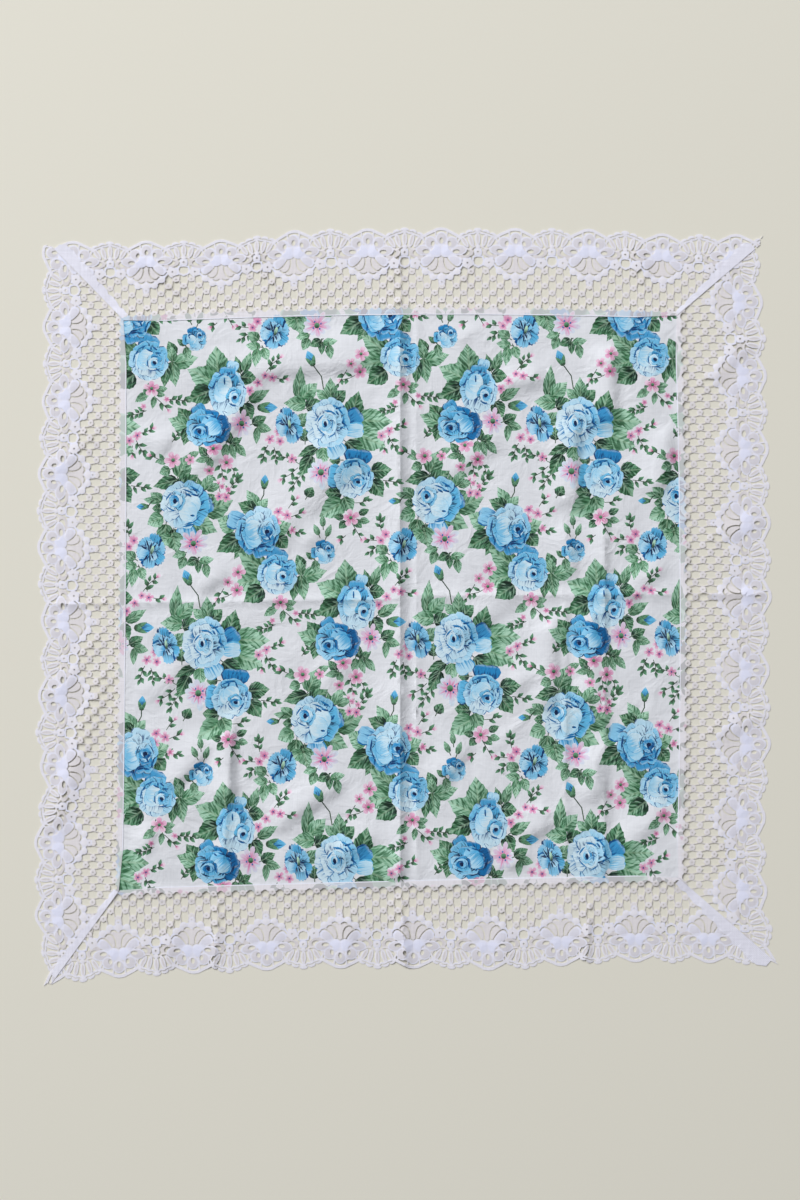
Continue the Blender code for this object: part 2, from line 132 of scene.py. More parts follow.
# Creases and ripples of the lying cloth. left and right: how far each one slopes down to either
# side, looking from start to end. crest: how quickly it falls away from its crest, 0 for a soft wrinkle.
Crease = namedtuple("Crease", "x y end_x end_y height left right crest")
CREASES = [Crease(*row) for row in (
    # the folds of the stored scarf, upright ones first
    (-0.0052, -0.268, -0.0052, 0.3, 0.0048, 0.032, 0.014, 2.2),
    (-0.0052, 0.27, -0.0056, 0.352, 0.0014, 0.02, 0.01, 1.7),
    (0.01, -0.275, 0.01, 0.288, 0.001, 0.005, 0.012, 2),
    (0.001, -0.352, -0.0045, -0.262, 0.0026, 0.022, 0.01, 2),
    (-0.175, -0.262, -0.162, -0.095, 0.0026, 0.02, 0.01, 2),
    (-0.183, -0.352, -0.176, -0.262, 0.0018, 0.012, 0.01, 1.7),
    (0.1886, -0.262, 0.1886, 0.095, 0.0028, 0.022, 0.009, 2),
    (0.1705, -0.35, 0.176, -0.268, 0.0016, 0.014, 0.008, 1.7),
    (0.1515, -0.25, 0.152, 0.012, 0.0018, 0.016, 0.008, 1.7),
    (-0.1905, 0.219, -0.0128, 0.2389, 0.004, 0.04, 0.014, 0),
    (-0.345, 0.004, -0.005, 0.009, 0.0016, 0.01, 0.008, 1.7),
    (0.005, 0.012, 0.348, 0.014, 0.0018, 0.01, 0.01, 1.7),
    (-0.146, -0.208, -0.091, -0.209, 0.0009, 0.01, 0.008, 1.7),
    (-0.003, -0.213, 0.059, -0.212, 0.0009, 0.008, 0.01, 1.7),
    (0.095, -0.194, 0.151, -0.193, 0.001, 0.008, 0.01, 1.7),
    # slanting wrinkles of the panel
    (0.04, 0.248, 0.081, 0.274, 0.001, 0.009, 0.008, 0),
    (0.07, -0.143, 0.117, -0.101, 0.0012, 0.01, 0.01, 0),
    (0.075, -0.252, 0.07, -0.143, 0.0008, 0.01, 0.01, 0),
    (0.232, -0.113, 0.237, -0.04, 0.0008, 0.01, 0.01, 0),
    (-0.233, 0.112, -0.152, 0.16, 0.001, 0.012, 0.012, 0),
    # soft wrinkles of the panel
    (-0.1971, 0.1297, -0.1363, 0.2228, 0.0042, 0.028, 0.015, 0),
    (-0.1363, 0.0603, -0.0375, 0.1601, 0.004, 0.045, 0.026, 0),
    (-0.2446, 0.143, -0.2161, 0.1734, 0.003, 0.024, 0.013, 0),
    (-0.104, 0.0537, -0.0717, 0.0841, 0.0028, 0.022, 0.013, 0),
    (-0.2047, 0.0109, -0.1667, 0.0404, 0.0036, 0.026, 0.013, 0),
    (-0.2285, -0.1743, -0.18, -0.1202, 0.0038, 0.026, 0.012, 0),
    (-0.1325, -0.2104, -0.0546, -0.1591, 0.0038, 0.03, 0.014, 0),
    (0.105, -0.2218, 0.1468, -0.1933, 0.0036, 0.024, 0.013, 0),
    (0.0936, -0.0831, 0.1297, -0.0546, 0.0032, 0.024, 0.013, 0),
    (0.2342, 0.1031, 0.2589, 0.1753, 0.004, 0.03, 0.014, 0),
    (0.1791, -0.1895, 0.1791, -0.1268, 0.0048, 0.024, 0.011, 0),
    (0.1591, 0.0879, 0.1582, 0.1829, 0.005, 0.028, 0.012, 0),
    (0.1952, 0.1639, 0.1933, 0.2551, 0.005, 0.028, 0.012, 0),
    (0.1363, -0.1021, 0.1382, -0.0024, 0.0048, 0.024, 0.013, 0),
    (0.1772, -0.1002, 0.1753, 0.0081, 0.0044, 0.022, 0.013, 0),
    (-0.1677, -0.1895, -0.1715, -0.104, 0.0046, 0.022, 0.013, 0),
    (-0.2503, -0.2389, -0.2389, -0.1971, 0.003, 0.02, 0.012, 0),
    (0.0898, -0.2522, 0.1221, -0.2237, 0.0036, 0.022, 0.012, 0),
    (0.0328, 0.1259, 0.0945, 0.1677, 0.0026, 0.028, 0.016, 0),
    (0.0423, -0.0261, 0.1126, 0.0176, 0.0024, 0.028, 0.016, 0),
    (-0.1002, -0.0907, -0.047, -0.0451, 0.0024, 0.026, 0.016, 0),
    (-0.2427, -0.0907, -0.2047, -0.0356, 0.0028, 0.026, 0.016, 0),
    (0.0214, -0.1781, 0.0632, -0.1211, 0.003, 0.026, 0.014, 0),
    (0.2019, 0.0024, 0.2494, 0.0499, 0.0028, 0.026, 0.014, 0),
    (0.2019, -0.2351, 0.2513, -0.18, 0.0028, 0.026, 0.014, 0),
    (-0.0736, -0.2427, -0.0204, -0.2066, 0.0026, 0.026, 0.014, 0),
    (0.0784, 0.2114, 0.1373, 0.219, 0.0034, 0.02, 0.013, 0),
    (0.1601, 0.0233, 0.1468, 0.086, 0.0034, 0.024, 0.012, 0),
    # ripples of the lace
    (-0.338, -0.22, -0.28, -0.05, 0.0014, 0.016, 0.016, 0),
    (-0.345, -0.095, -0.285, -0.02, 0.0009, 0.014, 0.014, 0),
    (-0.345, 0.12, -0.285, 0.175, 0.001, 0.015, 0.015, 0),
    (-0.262, 0.345, -0.205, 0.29, 0.0011, 0.014, 0.014, 0),
    (-0.15, 0.35, -0.12, 0.292, 0.0009, 0.013, 0.013, 0),
    (0.06, 0.355, 0.055, 0.298, 0.0007, 0.014, 0.014, 0),
    (0.215, 0.355, 0.23, 0.292, 0.0009, 0.014, 0.014, 0),
    (0.275, 0.205, 0.335, 0.262, 0.0012, 0.016, 0.016, 0),
    (0.278, 0.06, 0.345, 0.09, 0.001, 0.015, 0.015, 0),
    (0.278, -0.125, 0.345, -0.1, 0.0009, 0.014, 0.014, 0),
    (0.095, -0.345, 0.09, -0.272, 0.0007, 0.014, 0.014, 0),
    (-0.06, -0.345, -0.05, -0.278, 0.0009, 0.014, 0.014, 0),
    (-0.23, -0.35, -0.215, -0.285, 0.001, 0.014, 0.014, 0),
)]
CREASE_END = 0.020
SEAM_HOLD = 0.25
SEAM_HOLD_WIDTH = 0.014

# The lace is charted on squares: this many along one repeat, and this many from heading to edge
CHART_ALONG = 74
CHART_OUT = 85
CHART_HEADING = 5.5
COLUMN = CHART_ALONG / 10  # of the net

# The print is charted on squares from the upper left corner of the panel, y downwards
PRINT_SQUARE = 0.00095
PRINT_CORNER = Vector((-0.26648, 0.27883))
PRINT_ACROSS = Vector((250.7, -3.0))  # from one repeat to the next
PRINT_DOWN = Vector((-121.3, 218.8))


def aimed(degrees):
    return Vector((math.cos(math.radians(degrees)), math.sin(math.radians(degrees))))


def ease(x):
    """0 to 1, level at both ends."""
    x = np.clip(x, 0.0, 1.0)
    return x * x * (3 - 2 * x)


# Cloth

def crease_heights(crease, x, y):
    """How high one crease lifts the cloth at each of the points."""
    start, end = np.array((crease.x, crease.y)), np.array((crease.end_x, crease.end_y))
    length = np.hypot(*(end - start))
    along = (end - start) / length
    travelled = (x - start[0]) * along[0] + (y - start[1]) * along[1]
    aside = along[0] * (y - start[1]) - along[1] * (x - start[0])  # positive on the left
    slope = 1 - np.abs(aside) / np.where(aside > 0, crease.left, crease.right)
    slope = np.clip(slope, 0.0, 1.0)
    crest = slope ** crease.crest if crease.crest else ease(slope)
    ends = ease(np.minimum(travelled, length - travelled) / min(CREASE_END, length / 2))
    return crease.height * crest * ends


def cloth_heights(x, y, from_seam):
    """The height of the cloth's underside, where from_seam is the distance to the heading."""
    hold = SEAM_HOLD + (1 - SEAM_HOLD) * ease(from_seam / SEAM_HOLD_WIDTH)
    return hold * sum(crease_heights(crease, x, y) for crease in CREASES)


def outward(side):
    """The unit vector that points from the panel across the strip."""
    along = (side.end.seam - side.start.seam).normalized()
    return Vector((-along.y, along.x))


def seam_point(side, along):
    """A point on the heading's outer edge, which carries on straight past the corners."""
    run = side.end.seam - side.start.seam
    share = along / run.length
    bow = side.bow * 4 * max(share * (1 - share), 0.0)
    return side.start.seam + run * share + outward(side) * bow


def lace_point(side, along, out):
    """A place on the strip: along its side, and out from the heading at the lace's plain depth."""
    distances, depths = zip(*side.reach)
    place = seam_point(side, along)
    if out > 0:
        after = min(max(np.searchsorted(distances, along), 1), len(distances) - 1)
        share = (along - distances[after - 1]) / (distances[after] - distances[after - 1])
        depth = depths[after - 1] + (depths[after] - depths[after - 1]) * float(ease(share))
        out *= depth / LACE_DEPTH
        give = noise.noise_vector(place.to_3d() * 21 + Vector((0, 0, out * 24))).xy
        place += give * 0.0011 * float(ease(out / 0.030))
    return place + outward(side) * out


# Drawing. A form is a flat outline with a finish. Its frame runs from the foot along it, and to
# either side across it, and the finish is shaded in that frame. rise: how far its middle swells.
# over: the one finish on which the form shows, where it doesn't show everywhere.
Form = namedtuple("Form", "outline finish foot along across rise over", defaults=(0.0, None))


def counterclockwise(outline):
    area = sum(a.cross(b) for a, b in zip(outline, outline[1:] + outline[:1]))
    return outline if area > 0 else outline[::-1]


def make_form(outline, finish, foot=None, along=None, across=None, rise=0.0):
    outline = counterclockwise([Vector(point) for point in outline])
    if foot is None:
        low = Vector((min(p.x for p in outline), min(p.y for p in outline)))
        size = Vector((max(p.x for p in outline), max(p.y for p in outline))) - low
        foot = Vector((low.x + size.x / 2, low.y))
        along = Vector((0, size.y))
        across = Vector((size.x / 2, 0))
    return Form(outline, finish, foot, along, across, rise)


def mapped(form, place):
    """The form with every point sent through place."""
    foot = place(form.foot)
    along = place(form.foot + form.along) - foot
    across = place(form.foot + form.across) - foot
    outline = counterclockwise([place(point) for point in form.outline])
    return form._replace(outline=outline, foot=foot, along=along, across=across)


def inner_points(form):
    """Points inside a form that swells."""
    middle = form.foot + form.along / 2
    return [middle] + [middle.lerp(point, 0.62) for point in form.outline[::2]]


def ellipse(x, y, wide, high, finish, turn=0.0, count=12, rise=0.0):
    """An oval of these half sizes about (x, y)."""
    spin = Matrix.Rotation(math.radians(turn), 2)
    middle = Vector((x, y))
    angles = [math.tau * k / count for k in range(count)]
    outline = [middle + spin @ Vector((wide * math.cos(a), high * math.sin(a))) for a in angles]
    foot = middle - spin @ Vector((0, high))
    return make_form(outline, finish, foot, spin @ Vector((0, 2 * high)), spin @ Vector((wide, 0)), rise)


def shaped(profile, x, y, turn, length, width, finish, rise=0.0):
    """A profile with its foot at (x, y), its length towards turn and its full width across."""
    run = aimed(turn)
    across = Vector((run.y, -run.x)) * width / 2
    foot, along = Vector((x, y)), run * length
    outline = [foot + along * up + across * aside for aside, up in profile]
    return make_form(outline, finish, foot, along, across, rise)


def crescent(x, y, radius, turn, sweep, thick, finish):
    """A brush stroke that bends about (x, y), thickest in its middle."""
    centre, outer, inner, count = Vector((x, y)), [], [], 5
    for k in range(count + 1):
        ray = aimed(turn + sweep * (k / count - 0.5))
        outer.append(centre + ray * radius)
        if 0 < k < count:
            inner.append(centre + ray * (radius - thick * math.sin(math.pi * k / count)))
    middle = aimed(turn)
    return make_form(outer + inner[::-1], finish, centre + middle * (radius - thick), middle * thick,
                     Vector((-middle.y, middle.x)) * radius * math.radians(sweep) / 2)


def ribbon(path, width, finish, rise=0.0):
    """A band of even width along a path."""
    path = [Vector(point) for point in path]
    left, right = [], []
    for k, point in enumerate(path):
        run = path[min(k + 1, len(path) - 1)] - path[max(k - 1, 0)]
        aside = Vector((-run.y, run.x)).normalized() * width / 2
        left.append(point + aside)
        right.append(point - aside)
    return make_form(right + left[::-1], finish, rise=rise)


def flower_outline(x, y, radius, petals, notch, turn, steps=3):
    """A round flower in one outline, with a notch between its petals."""
    count = petals * steps
    points = []
    for k in range(count):
        angle = math.tau * k / count
        reach = radius * (1 - notch * (0.5 - 0.5 * math.cos(petals * angle)))
        points.append((x + reach * math.cos(angle + turn), y + reach * math.sin(angle + turn)))
    return points


def mirrored(points):
    """A half outline, up one side, closed with its mirror image."""
    return list(points) + [(-x, y) for x, y in reversed(points) if abs(x) > 1e-6]


def flipped(form):
    """The form's mirror image across the fan's middle line."""
    flip = Matrix(((-1, 0), (0, 1)))
    return form._replace(
        outline=[flip @ p for p in form.outline],
        foot=flip @ form.foot, along=flip @ form.along, across=flip @ form.across,
    )


def both(*forms):
    """The forms and their mirror images."""
    return [f for form in forms for f in (form, flipped(form))]


def topmost_form(sources, forms):
    """The number of the last drawn of the forms at a place that shows there, or 0."""
    below = [forms[k - 1].finish for k in sources if k]
    for top in sorted(sources, reverse=True):
        if top and (forms[top - 1].over is None or forms[top - 1].over in below):
            return top
    return 0


def visible_edges(cut, tops):
    """The edges of a cut sheet where what shows changes, as pairs of places, and a tree of its faces."""
    sides = {}
    for corners, top in zip(cut[2], tops):
        for a, b in zip(corners, corners[1:] + corners[:1]):
            sides.setdefault((min(a, b), max(a, b)), []).append(top)
    edges = [edge for edge, found in sides.items() if len(set(found)) > 1]
    flat = [(*place, 0.0) for place in cut[0]]
    return [(cut[0][a], cut[0][b]) for a, b in edges], BVHTree.FromPolygons(flat, cut[2])


def arranged(outline, forms, lines=(), spots=()):
    """Cuts a flat sheet along what shows of its forms, and along its lines, with spots between.

    Each face remembers its topmost form, 0 for the plain ground, in the layer "form".
    """
    points, loops = [], []
    for loop in [outline] + [form.outline for form in forms]:
        loops.append(list(range(len(points), len(points) + len(loop))))
        points += loop
    cut = delaunay_2d_cdt(points, [], loops, 1, FINEST)
    tops = [topmost_form(sources, forms) if 0 in sources else 0 for sources in cut[5]]
    shown, tree = visible_edges(cut, tops)

    points, edges = list(outline), []
    for line in [*shown, *lines]:
        edges += [(len(points) + k, len(points) + k + 1) for k in range(len(line) - 1)]
        points += line
    taken = KDTree(len(points))
    for index, point in enumerate(points):
        taken.insert((*point, 0.0), index)
    taken.balance()
    points += [spot for spot in spots if taken.find((*spot, 0.0))[2] > SPOT_SPACE]
    cut = delaunay_2d_cdt(points, edges, [list(range(len(outline)))], 1, FINEST)
    bm = bmesh.new()
    topmost = bm.faces.layers.int.new("form")
    verts = {}
    for corners, sources in zip(cut[2], cut[5]):
        if not sources:
            continue
        middle = sum((cut[0][index] for index in corners), Vector((0, 0))) / 3
        top = tops[tree.find_nearest((*middle, 0.0))[2]]
        if top and forms[top - 1].finish is OPEN:
            continue
        for index in corners:
            if index not in verts:
                verts[index] = bm.verts.new((*cut[0][index], 0))
        face = bm.faces.new([verts[index] for index in corners])
        face[topmost] = top
    return bm


OPEN = "open"


def swell(bm, forms):
    """How far each vertex is lifted by the forms that swell."""
    topmost = bm.faces.layers.int["form"]
    lift = {}
    for face in bm.faces:
        form = forms[face[topmost] - 1] if face[topmost] else None
        if form is None or not form.rise:
            continue
        for vert in face.verts:
            offset = vert.co.xy - form.foot
            up = offset.dot(form.along) / form.along.length_squared
            aside = offset.dot(form.across) / form.across.length_squared
            round_off = 1 - aside * aside - (2 * up - 1) ** 2
            lift[vert] = max(lift.get(vert, 0.0), form.rise * max(round_off, 0.0))
    return lift


def paint(mesh, forms, ground):
    """Gives each face's corners its form's frame and the two ends of its finish."""
    owner = np.zeros(len(mesh.polygons), dtype=np.int32)
    mesh.attributes["form"].data.foreach_get("value", owner)
    mesh.attributes.remove(mesh.attributes["form"])
    sizes = np.zeros(len(mesh.polygons), dtype=np.int32)
    mesh.polygons.foreach_get("loop_total", sizes)
    owner = np.repeat(owner, sizes)
    plain = Form([], ground, Vector((0, 0)), Vector((0, 1)), Vector((1, 0)))
    table = [plain] + list(forms)
    finishes = np.array([form.finish if form.finish is not OPEN else ground for form in table])
    frames = np.array([[*form.foot, *form.along, *form.across] for form in table])[owner]
    corners = np.zeros(len(mesh.loops), dtype=np.int32)
    mesh.loops.foreach_get("vertex_index", corners)
    places = np.zeros(len(mesh.vertices) * 3)
    mesh.vertices.foreach_get("co", places)
    places = places.reshape(-1, 3)[corners, :2] - frames[:, :2]
    up = (places * frames[:, 2:4]).sum(1) / (frames[:, 2:4] ** 2).sum(1)
    aside = (places * frames[:, 4:6]).sum(1) / (frames[:, 4:6] ** 2).sum(1)
    shading = mesh.uv_layers.new(name="Form")
    shading.data.foreach_set("uv", np.where(owner[:, None] > 0, np.stack((aside, up), 1), 0.5).ravel())
    for name, part in (("foot_finish", finishes[:, 0]), ("tip_finish", finishes[:, 1])):
        layer = mesh.color_attributes.new(name, "FLOAT_COLOR", "CORNER")
        layer.data.foreach_set("color", part[owner].ravel())


def add_piece(name, bm, forms, ground, material, smooth):
    """Makes the object, with its place in its mesh and its faces in the order of their corners."""
    bm.verts.index_update()
    for index, face in enumerate(sorted(bm.faces, key=lambda face: sorted(v.index for v in face.verts))):
        face.index = index
    bm.faces.sort()
    mesh = bpy.data.meshes.new(name)
    bm.to_mesh(mesh)
    bm.free()
    paint(mesh, forms, ground)
    mesh.transform(Matrix.Translation((-CENTRE).to_3d()))
    mesh.polygons.foreach_set("use_smooth", [smooth] * len(mesh.polygons))
    mesh.materials.append(material)
    piece = bpy.data.objects.new(name, mesh)
    bpy.context.scene.collection.objects.link(piece)
    return piece


def ink(red, green, blue):
    """A colour by its sRGB values of 0 to 255, in linear light."""
    return tuple(
        v / 255 / 12.92 if v <= 10 else ((v / 255 + 0.055) / 1.055) ** 2.4 for v in (red, green, blue)
    )


def between(first, second, share):
    return tuple(a + (b - a) * share for a, b in zip(first, second))


# Lace chart

def lace_finishes(settings):
    """The yarn's finishes: colour and satin in the middle, colour and knit at the rim."""
    net, satin = tuple(settings.net_colour), tuple(settings.satin_colour)
    sheer, bright = tuple(settings.sheer_colour), between(satin, (1.0, 1.0, 1.0), 0.4)
    return {
        "thread": ((*between(sheer, net, 0.3), 0.0), (*between(sheer, net, 0.3), 0.2)),
        "net": ((*between(sheer, net, 0.7), 0.1), (*net, 0.5)),
        "pearl": ((*between(net, satin, 0.3), 0.4), (*between(net, satin, 0.8), 0.3)),
        "rib": ((*between(sheer, net, 0.6), 0.2), (*between(net, satin, 0.4), 0.6)),
        "petal": ((*between(sheer, satin, 0.25), 0.2), (*between(net, satin, 0.7), 0.5)),
        "lobe": ((*between(sheer, satin, 0.5), 0.4), (*between(net, satin, 0.8), 0.4)),
        "satin": ((*satin, 1.0), (*between(satin, net, 0.3), 0.2)),
        "mesh": ((*between(sheer, net, 0.2), 0.0), (*between(sheer, net, 0.5), 0.8)),
        "edge": ((*between(net, satin, 0.4), 0.1), (*between(net, satin, 0.4), 0.6)),
        "heading": ((*between(net, satin, 0.2), 0.1), (*between(net, satin, 0.2), 1.0)),
        "rail": ((*bright, 0.3), (*bright, 0.3)),
        "turning": ((*between(net, satin, 0.6), 0.3), (*between(net, satin, 0.6), 1.0)),
    }


def lace_flower(x, y, radius, finish, turn=0.0, pinhole=0.7, petals=5, notch=0.16, rise=0.0002):
    """A small round flower, with its pinhole."""
    outline = flower_outline(x, y, radius, petals, notch, turn)
    hole = flower_outline(x, y, pinhole, 1, 0.0, turn, steps=5)
    return [make_form(outline, finish, rise=rise), make_form(hole, OPEN)]


def net_forms(yarn, shuffle):
    """The net: bent upright threads with small flowers between them, up to the fan's crown."""
    ends = {0: 33.0, 1: 37.5, 2: 43.0, 3: 45.5, 4: 46.0}
    forms = []
    for k in range(-5, 5):
        x = (k + 0.5) * COLUMN
        end = ends[int(abs(k + 0.5))]
        bends = [(x + (-0.8 if (k + row) % 2 else 0.8), 2.6 + 7.6 * row) for row in range(6)]
        path = [(x, -0.5), *(spot for spot in bends if spot[1] < end - 2), (x, end)]
        forms.append(ribbon(path, 0.8, yarn["thread"]))
    for k in range(-5, 5):
        for row in range(6):
            taken = (row == 4 and abs(k) == 1) or (row == 5 and abs(k) <= 2)
            if (k + row) % 2 == 0 or taken:
                continue
            turn = shuffle.uniform(0, math.tau)
            forms += lace_flower(k * COLUMN, 2.6 + 7.6 * row, 3.5, yarn["net"], turn, notch=0.18)
    return forms


def heading_forms(yarn):
    """The straight heading: a close band between a rail and a row of points."""
    half = CHART_ALONG / 2
    forms = [make_form([(-half, -CHART_HEADING), (half, -CHART_HEADING), (half, 0), (-half, 0)],
                       yarn["heading"])]
    for k in range(-5, 5):
        x = (k + 0.5) * COLUMN
        forms.append(make_form([(x - 3.0, -0.4), (x + 3.0, -0.4), (x + 0.6, 1.9), (x - 0.6, 1.9)],
                               yarn["heading"]))
    return forms


def fan_forms(yarn):
    """The fan: its crown of pearls, ribs, lobes, satin bow and the petals with their eyes."""
    body = mirrored([(0, 57.5), (8, 58), (15, 57.6), (20.6, 54), (20.6, 48), (17.6, 44.6), (14, 41.8),
                     (11.4, 38.8), (8.6, 36.4), (4, 35.6), (0, 36)])
    crown = [(-20.8, 48.5), (-18.4, 44.0), (-15, 40.8), (-11.6, 37.8), (-8, 35.4), (-4, 34.2), (0, 34.0),
             (4, 34.2), (8, 35.4), (11.6, 37.8), (15, 40.8), (18.4, 44.0), (20.8, 48.5)]
    tip_gap = [(0.9, 40.4), (2.0, 37.9), (4.6, 36.6), (7.2, 37.4), (8.5, 39.8), (6.6, 38.9), (4.6, 38.5),
               (2.6, 39.2)]
    finger_gap = [(3.0, 54.8), (2.8, 51.0), (3.5, 47.0), (5.3, 43.4), (8.4, 41.2), (11.4, 41.7),
                  (13.5, 44.2)]
    lobe_gap = [(20.8, 49.0), (18.6, 45.9), (16.0, 45.0), (13.6, 45.9), (10.9, 48.0), (8.6, 50.6),
                (6.8, 53.4), (6.0, 55.4)]
    foot_gap = [(6.4, 55.2), (3.2, 54.9), (1.4, 55.6), (0, 57.0)]
    lobe = [(6.8, 56.4), (7.6, 53.6), (9.6, 50.8), (12.0, 48.4), (14.6, 46.8), (17.4, 46.3), (19.8, 48.2),
            (20.6, 51), (19.8, 53.6), (16.6, 55.2), (12.6, 56.4)]
    bow = [(0, 57.4), (1.6, 55.9), (4.6, 55.2), (8.4, 55.6), (12.2, 56.0), (14.2, 56.8), (12.6, 59.4),
           (9.6, 61.8), (7.4, 65.0), (5.8, 68.6), (0, 68.8)]
    edge = [(0, 84.9), (4.4, 84.3), (9, 81.9), (13.5, 79.7), (17.6, 77.4), (20.6, 74.6)]
    forms = [ribbon([(0, 25), (0, 31)], 2.0, yarn["net"]), make_form(body, yarn["rib"])]
    forms.append(ribbon(crown, 3.2, yarn["pearl"]))
    forms += both(ellipse(8.4, 34.9, 3.7, 3.6, yarn["pearl"], rise=0.0004, count=10),
                  ellipse(15.6, 40.7, 3.9, 3.8, yarn["pearl"], rise=0.0004, count=10))
    forms += lace_flower(0, 29.4, 3.4, yarn["pearl"], 0.3)
    forms.append(make_form(flower_outline(0, 34.4, 4.6, 4, 0.12, 0.0), yarn["pearl"], rise=0.0004))
    forms += both(make_form(tip_gap, OPEN), ribbon(finger_gap, 1.3, OPEN))
    forms += both(make_form(lobe, yarn["lobe"], Vector((8, 57)), Vector((11.5, -8)),
                            Vector((3.2, 4.4)), rise=0.0005))
    forms += both(ribbon(lobe_gap, 1.1, OPEN))
    forms.append(ribbon([(-x, y) for x, y in foot_gap] + foot_gap[-2::-1], 0.9, OPEN))
    forms.append(ribbon(edge[::-1] + [(-x, y) for x, y in edge[1:]], 3.0, yarn["edge"], rise=0.0001))
    forms += both(ribbon([(5.6, 77), (6.4, 83)], 1.4, yarn["edge"]),
                  ribbon([(15.2, 74), (16.4, 78)], 1.6, yarn["edge"]))
    backing = mirrored([(0, 60), (12, 58), (20, 60), (21, 65), (17, 69.6), (13.4, 74.6), (7, 77.4), (0, 80)])
    forms.append(make_form(backing, yarn["rib"]))
    forms += both(
        ellipse(18.0, 62.6, 8.2, 5.4, yarn["petal"], turn=8, rise=0.0004, count=14),
        ellipse(10.9, 70.7, 6.1, 6.5, yarn["petal"], turn=12, rise=0.0004, count=14),
    )
    forms.append(ellipse(0.2, 74.8, 6.0, 6.9, yarn["petal"], rise=0.0004, count=16))
    forms += both(ellipse(15.3, 61.4, 3.6, 2.1, OPEN, turn=6, count=9),
                  ellipse(8.6, 69.6, 1.9, 2.8, OPEN, turn=10, count=8))
    forms.append(ellipse(0.2, 72.6, 1.9, 3.2, OPEN, count=8))
    forms += both(make_form(bow, yarn["satin"], Vector((1, 67)), Vector((9, -10)), Vector((5, 6)),
                            rise=0.0007))
    return forms


def bud_forms(yarn, shuffle):
    """Between two fans: the open eye with its flowers, the open ring with its loops, and the knops."""
    wing = [(5.6, 57.6), (9.0, 55.6), (13.2, 54.0), (17.4, 52.0), (19.6, 55.0), (18.4, 59.0), (16.8, 62.4),
            (17.4, 65.6), (13.2, 65.4), (9.4, 64.4), (6.2, 63.6), (4.2, 61.0)]
    arch = [(-20, 72.0), (-17.6, 67.6), (-13.6, 65.2), (-9.6, 64.0), (-6.2, 64.4), (-3.2, 66.8), (0, 68.0)]
    ring = [(-19.6, 71.4), (-18.0, 75.2), (-14.6, 77.4), (-11.4, 78.2), (-8.0, 80.2), (-4.4, 80.4),
            (-1.6, 82.0), (0, 82.2)]
    slit = [(-17.0, 76.9), (-14.0, 79.0), (-11.0, 79.8), (-8.2, 81.6), (-4.6, 82.0), (-2.2, 83.4)]
    eye = mirrored([(0, 55.6), (3.6, 55.2), (4.7, 51.6), (3.7, 48.2), (0, 46.6)])
    eye_rim = mirrored([(0, 57.2), (5.2, 56.6), (6.4, 51.6), (5.0, 46.6), (0, 44.0)])
    forms = both(*(ellipse(x, y, 3.9, 2.9, yarn["edge"], turn, count=10, rise=0.0002)
                   for x, y, turn in ((15.2, 78.4, -28), (8.2, 81.8, -16), (0.4, 83.8, 0))))
    forms += both(ribbon(slit, 0.8, OPEN))
    for x, y, turn in ((-13.2, 71.8, 30), (-6.8, 73.0, 14), (0, 74.6, 0), (6.8, 73.0, -14),
                       (13.2, 71.8, -30)):
        forms.append(ellipse(x, y, 2.6, 7.3, yarn["edge"], turn, rise=0.0002, count=10))
        forms.append(ellipse(x, y, 1.3, 5.6, yarn["mesh"], turn, count=8))
    forms += both(ribbon(ring, 1.7, yarn["edge"]), make_form(wing, yarn["mesh"]))
    forms += both(ellipse(12.2, 60.0, 4.0, 3.1, OPEN, turn=-12, count=9))
    forms.append(ribbon(arch + [(-x, y) for x, y in arch[-2::-1]], 1.6, yarn["net"]))
    forms.append(make_form(eye_rim, yarn["pearl"]))
    forms.append(make_form(eye, OPEN))
    for x, y, radius in ((-10.9, 49.3, 6.9), (10.9, 49.3, 6.9)):
        turn = shuffle.uniform(0, math.tau)
        forms += lace_flower(x, y, radius, yarn["pearl"], turn, pinhole=1.0, notch=0.3, rise=0.0003)
    forms += lace_flower(0, 60.8, 4.9, yarn["pearl"], 0.8, pinhole=1.1, petals=4, notch=0.25, rise=0.0003)
    forms.append(ellipse(0, 66.0, 2.3, 2.6, yarn["pearl"], count=8, rise=0.0002))
    shift = Vector((CHART_ALONG / 2, 0))
    return [mapped(form, lambda p: p + shift) for form in forms]


def lace_repeat(yarn, shuffle):
    """One repeat of the lace on its chart, undermost form first."""
    return bud_forms(yarn, shuffle) + net_forms(yarn, shuffle) + heading_forms(yarn) + fan_forms(yarn)


class Mitre:
    """One end of a strip: the seam's line, and the distance to it on the strip's side."""

    def __init__(self, corner, into_strip):
        self.corner = corner
        self.length = (corner.tip - corner.seam).length
        self.line = (corner.tip - corner.seam) / self.length
        self.inward = Vector((-self.line.y, self.line.x))
        if self.inward.dot(into_strip) < 0:
            self.inward.negate()

    def distance(self, point):
        return (point - self.corner.seam).dot(self.inward)

    def point(self, along, inside):
        return self.corner.seam + self.line * along + self.inward * inside


def strip_boundary(side, mitres):
    """The strip's room: from inside the heading to past the scallops, cut at both mitres."""
    length = (side.end.seam - side.start.seam).length
    inner = [lace_point(side, length * k / 12, -HEADING * 1.02) for k in range(13)]
    corners = []
    for mitre, end in zip(mitres, (inner[0], inner[-1])):
        depth = mitre.distance(end) - MITRE_GAP / 2
        inside = end - mitre.inward * depth
        foot = (inside - mitre.corner.seam).dot(mitre.line)
        blunt = ((0.001, MITRE_GAP / 2), (0.003, 0.004), (0.030, 0.008))  # past the tip, and aside
        corners.append([mitre.point(foot, MITRE_GAP / 2)]
                       + [mitre.point(mitre.length + past, aside) for past, aside in blunt])
    return [corners[0][0]] + inner[1:-1] + corners[1] + corners[0][:0:-1]


